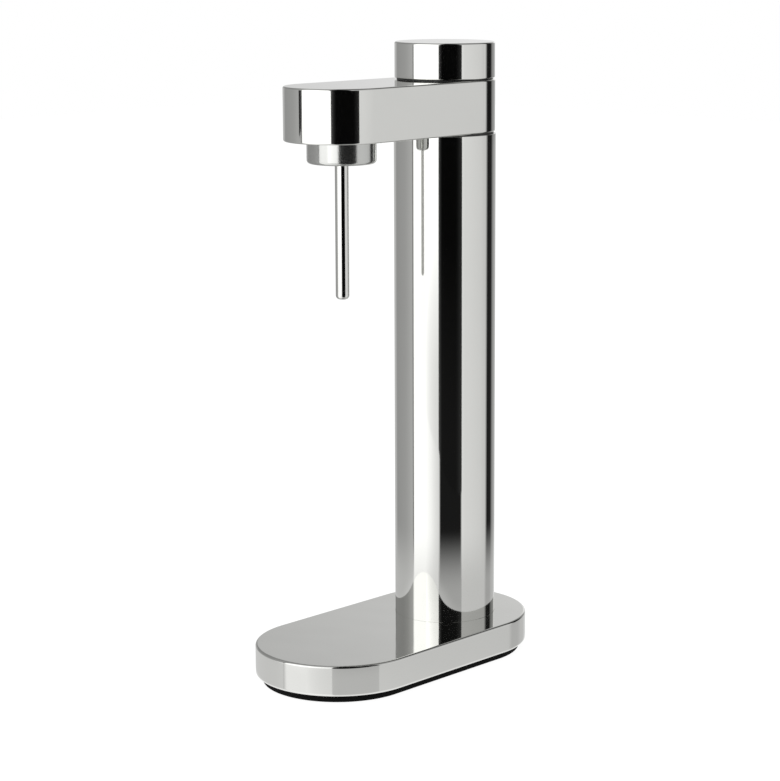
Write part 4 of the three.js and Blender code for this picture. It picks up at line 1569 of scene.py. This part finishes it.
@dataclass(frozen=True)
class Surroundings:
    """What is round the machine: white to the camera, even to soft surfaces, cards to the steel.

    The spans are of the sine of the angle over the level, but rear_turn is in radians from the
    direction of the camera. The backdrop behind the machine has tones by that sine. It is
    lighter towards the right by rear_lean.
    """

    fill: float = 0.8
    raised_span: Span = (0.1, 0.27)
    overhead_span: Span = (0.55, 0.95)
    rear_turn: Span = (2.6, 2.95)
    rear_span: Span = (-0.01, 0.03)
    rear_lean: float = 1.8
    backdrop: tuple[Span, ...] = (
        (0.0, 0.85),
        (0.06, 0.765),
        (0.28, 0.625),
        (0.5, 0.45),
        (0.8, 0.1),
        (1.0, 0.06),
    )

    def build(self, camera: Camera) -> None:
        """Fills the world.

        Args:
            camera: The camera that the cards are placed from.
        """
        world = bpy.data.worlds.new("studio")
        world.use_nodes = True
        bpy.context.scene.world = world
        graph = Graph(world.node_tree)
        ray = graph.node("ShaderNodeLightPath")
        seen = Signal(graph, ray.outputs["Is Camera Ray"])
        plain = self.fill + (1.0 - self.fill) * seen
        tone = plain.towards(self.mirrored(graph, camera), ray.outputs["Is Glossy Ray"])
        background = graph.node("ShaderNodeBackground", None, {"Color": tone, "Strength": 1.0})
        graph.node("ShaderNodeOutputWorld", None, {"Surface": background})

    def mirrored(self, graph: Graph, camera: Camera) -> Signal:
        """The brightness that the steel mirrors.

        Args:
            graph: The world's graph.
            camera: The camera that the cards are placed from.

        Returns:
            The brightness in each direction.
        """
        where = graph.node("ShaderNodeTexCoord").outputs["Generated"]
        height = graph.parts(where)[2]
        angle = camera.angle(graph, where)
        level, raised, overhead = (
            row.tone(graph, angle) for row in (LEVEL_ROW, RAISED_ROW, OVERHEAD_ROW)
        )
        around = level.towards(raised, height.step(*self.raised_span))
        backdrop = graph.signal("ShaderNodeValToRGB", {"stops": self.backdrop}, {"Fac": height})
        leaning = backdrop * (1.0 + self.rear_lean * graph.math("SINE", angle))
        rear = graph.math("ABSOLUTE", angle).step(*self.rear_turn)
        walls = around.towards(leaning, rear * height.step(*self.rear_span))
        return walls.towards(overhead, height.step(*self.overhead_span))


@dataclass(frozen=True)
class Floor:
    """A pale floor, which the steel mirrors as a glossy table among the cards.

    The table has a glow of its own near the base, one further out, and the cards' beyond. Each
    fade is a span of distances: near_fade from the base's edge, far_fade from the column.
    """

    size: float = 8.0
    gap: float = 0.0002
    colour: float = 0.8
    white: float = 1.12
    white_share: float = 0.85
    roughness: float = 0.09
    rim_glow: float = 0.33
    rim_reach: float = 0.014
    near_glow: float = 0.53
    near_lean: float = -0.07
    near_gloss: float = 0.27
    near_fade: Span = (0.05, 0.11)
    middle_glow: float = 0.41
    middle_gloss: float = 0.43
    far_fade: Span = (0.19, 0.39)

    def build(self, camera: Camera) -> None:
        """Lays the floor.

        Args:
            camera: The camera that the cards are placed from.
        """
        half = self.size / 2
        corners = [(-half, -half), (half, -half), (half, half), (-half, half)]
        data = bpy.data.meshes.new("floor")
        data.from_pydata([(x, y, -self.gap) for x, y in corners], [], [(0, 1, 2, 3)])
        made = show("floor", data)
        data.materials.append(self.material(camera))

    def material(self, camera: Camera) -> bpy.types.Material:
        """The floor's material.

        Args:
            camera: The camera that the cards are placed from.

        Returns:
            White with a soft shadow to the camera, plain to soft surfaces, and the table to the
            steel. From below it is clear, so that the machine's underside can be looked at.
        """
        made, graph = new_material("floor")
        ray = graph.node("ShaderNodeLightPath")
        share = Signal(graph, ray.outputs["Is Camera Ray"]) * self.white_share
        plain = graph.node("ShaderNodeBsdfDiffuse", None, {"Color": grey(self.colour)})
        seen = graph.either(share, plain, graph.glow(grey(1.0), self.white))
        above = graph.either(ray.outputs["Is Glossy Ray"], seen, self.table(graph, camera))
        below = graph.node("ShaderNodeNewGeometry").outputs["Backfacing"]
        clear = graph.node("ShaderNodeBsdfTransparent", None, {"Color": grey(1.0)})
        whole = graph.either(below, above, clear)
        graph.node("ShaderNodeOutputMaterial", None, {"Surface": whole})
        return made

    def table(self, graph: Graph, camera: Camera) -> bpy.types.Node:
        """The glossy table that the steel mirrors.

        Args:
            graph: The floor's graph.
            camera: The camera that the cards are placed from.

        Returns:
            The shader.
        """
        column = Extent.of("column_tube")
        base = Extent.of("base_shell")
        spine = base.length / 2 - base.radius
        across, along, _ = graph.parts(graph.place())
        beside = along - graph.math("MINIMUM", graph.math("MAXIMUM", along, -spine), spine)
        from_spine = graph.node("ShaderNodeCombineXYZ", None, {"X": across, "Y": beside})
        behind = along - column.y
        from_column = graph.node("ShaderNodeCombineXYZ", None, {"X": across, "Y": behind})
        away = graph.measure("LENGTH", from_spine) - base.radius
        out = graph.measure("LENGTH", from_column)
        angle = camera.angle(graph, from_column)
        # What the column's side mirrors lies further round than it does from the axis.
        turned = angle + (column.radius / out) * graph.math("SINE", angle / 2.0)
        middle_share = away.step(*self.near_fade)
        far_share = middle_share * out.step(*self.far_fade)
        even = self.near_glow * (1.0 + self.near_lean * graph.math("SINE", angle))
        near = even + self.rim_glow * (1.0 - away.step(0.0, self.rim_reach))
        close = near.towards(self.middle_glow, middle_share)
        lit = graph.glow(close.towards(TABLE_ROW.tone(graph, turned), far_share))
        gloss = self.near_gloss + (self.middle_gloss - self.near_gloss) * middle_share
        inputs = {"Color": grey(1.0), "Roughness": self.roughness}
        mirror = graph.node("ShaderNodeBsdfGlossy", None, inputs)
        polish = graph.either(gloss * (1.0 - far_share), graph.glow(grey(1.0), 0.0), mirror)
        return graph.node("ShaderNodeAddShader", None, {0: lit, 1: polish})


@dataclass(frozen=True)
class Board:
    """An upright board near the machine that only the steel mirrors.

    Places are metres to the right of the column in the picture and from the column towards the
    camera. The tone goes from the first to the second between the heights of fade. The glows are
    added at the left and right ends, and each reaches over the share glow_reach of the length.
    """

    name: str
    left: tuple[float, float]
    right: tuple[float, float]
    bottoms: tuple[float, float]
    tones: tuple[float, float]
    top: float = 0.46
    fade: Span = (0.05, 0.28)
    glows: tuple[float, float] = (0.0, 0.0)
    glow_reach: float = 0.24

    def build(self, camera: Camera) -> None:
        """Stands the board where only the steel mirrors it.

        Args:
            camera: The camera that the board is placed from.
        """
        column = Extent.of("column_tube")
        origin = Vector((column.x, column.y, 0.0))
        left, right = (
            origin + across * camera.right + front * camera.front
            for across, front in (self.left, self.right)
        )
        span = right - left
        corners = (
            (0.0, 0.0, self.bottoms[0]),
            (span.length, 0.0, self.bottoms[1]),
            (span.length, 0.0, self.top),
            (0.0, 0.0, self.top),
        )
        data = bpy.data.meshes.new(self.name)
        data.from_pydata(corners, [], [(0, 1, 2, 3)])
        made = show(self.name, data)
        made.location = left
        made.rotation_euler = (0.0, 0.0, math.atan2(span.y, span.x))
        made.visible_camera = False
        made.visible_diffuse = False
        made.visible_transmission = False
        made.visible_shadow = False
        data.materials.append(self.material(span.length))

    def material(self, length: float) -> bpy.types.Material:
        """The board's material.

        Args:
            length: How long the board is.

        Returns:
            A glow in the tones of the board.
        """
        made, graph = new_material(self.name)
        along, _, height = graph.parts(graph.place())
        low, high = self.tones
        tone = low + (high - low) * height.step(*self.fade)
        for glow, distance in zip(self.glows, (along, length - along)):
            near = graph.math("MAXIMUM", 1.0 - distance / (length * self.glow_reach), 0.0)
            tone = tone + glow * (near * near)
        graph.node("ShaderNodeOutputMaterial", None, {"Surface": graph.glow(tone)})
        return made


BOARDS = (
    Board(
        "dark board",
        left=(-0.1326, 0.5459),
        right=(0.2411, 0.313),
        bottoms=(0.03, 0.03),
        tones=(0.009, 0.0018),
        glows=(0.09, 0.03),
    ),
    Board(
        "white board",
        left=(-0.5, 0.5459),
        right=(-0.1326, 0.5459),
        bottoms=(0.03, 0.03),
        tones=(0.8, 1.4),
        fade=(0.07, 0.3),
        glows=(0.45, 0.0),
        glow_reach=1.3,
    ),
    Board(
        "side board",
        left=(-1.7926, 0.4525),
        right=(-0.479, 0.1373),
        bottoms=(0.226, 0.331),
        tones=(0.03, 0.03),
        top=0.43,
    ),
)


@dataclass(frozen=True)
class Lamp:
    """A large soft lamp that the steel doesn't mirror."""

    size: float = 0.9
    power: float = 14.0
    place: tuple[float, float, float] = (-0.9, -0.7, 1.7)

    def build(self) -> None:
        """Hangs the lamp, which shines at the origin."""
        data = bpy.data.lights.new("soft lamp", "AREA")
        data.size = self.size
        data.energy = self.power
        made = show("soft lamp", data)
        made.location = self.place
        made.rotation_mode = "QUATERNION"
        made.rotation_quaternion = Vector(self.place).to_track_quat("Z", "Y")
        made.visible_glossy = False


class Studio:
    """The camera, and the surroundings, floor, boards and lamp that the machine is seen in."""

    def build(self) -> None:
        """Builds the studio."""
        camera = Camera()
        camera.build()
        Surroundings().build(camera)
        Floor().build(camera)
        for board in BOARDS:
            board.build(camera)
        Lamp().build()
        bpy.context.scene.view_settings.view_transform = "Standard"


def main() -> None:
    """Builds the studio and the machine."""
    logging.basicConfig(level=logging.INFO, format="%(name)s: %(message)s")
    machine = (Base(), Column(), Head(), Knob(), BottleSocket(), GasCylinder(), Mechanism())
    for part in (Studio(), *machine, *SCREWS, *SPRINGS):
        part.build()
        LOG.info("finished %s", type(part).__name__)


if __name__ == "__main__":
    main()
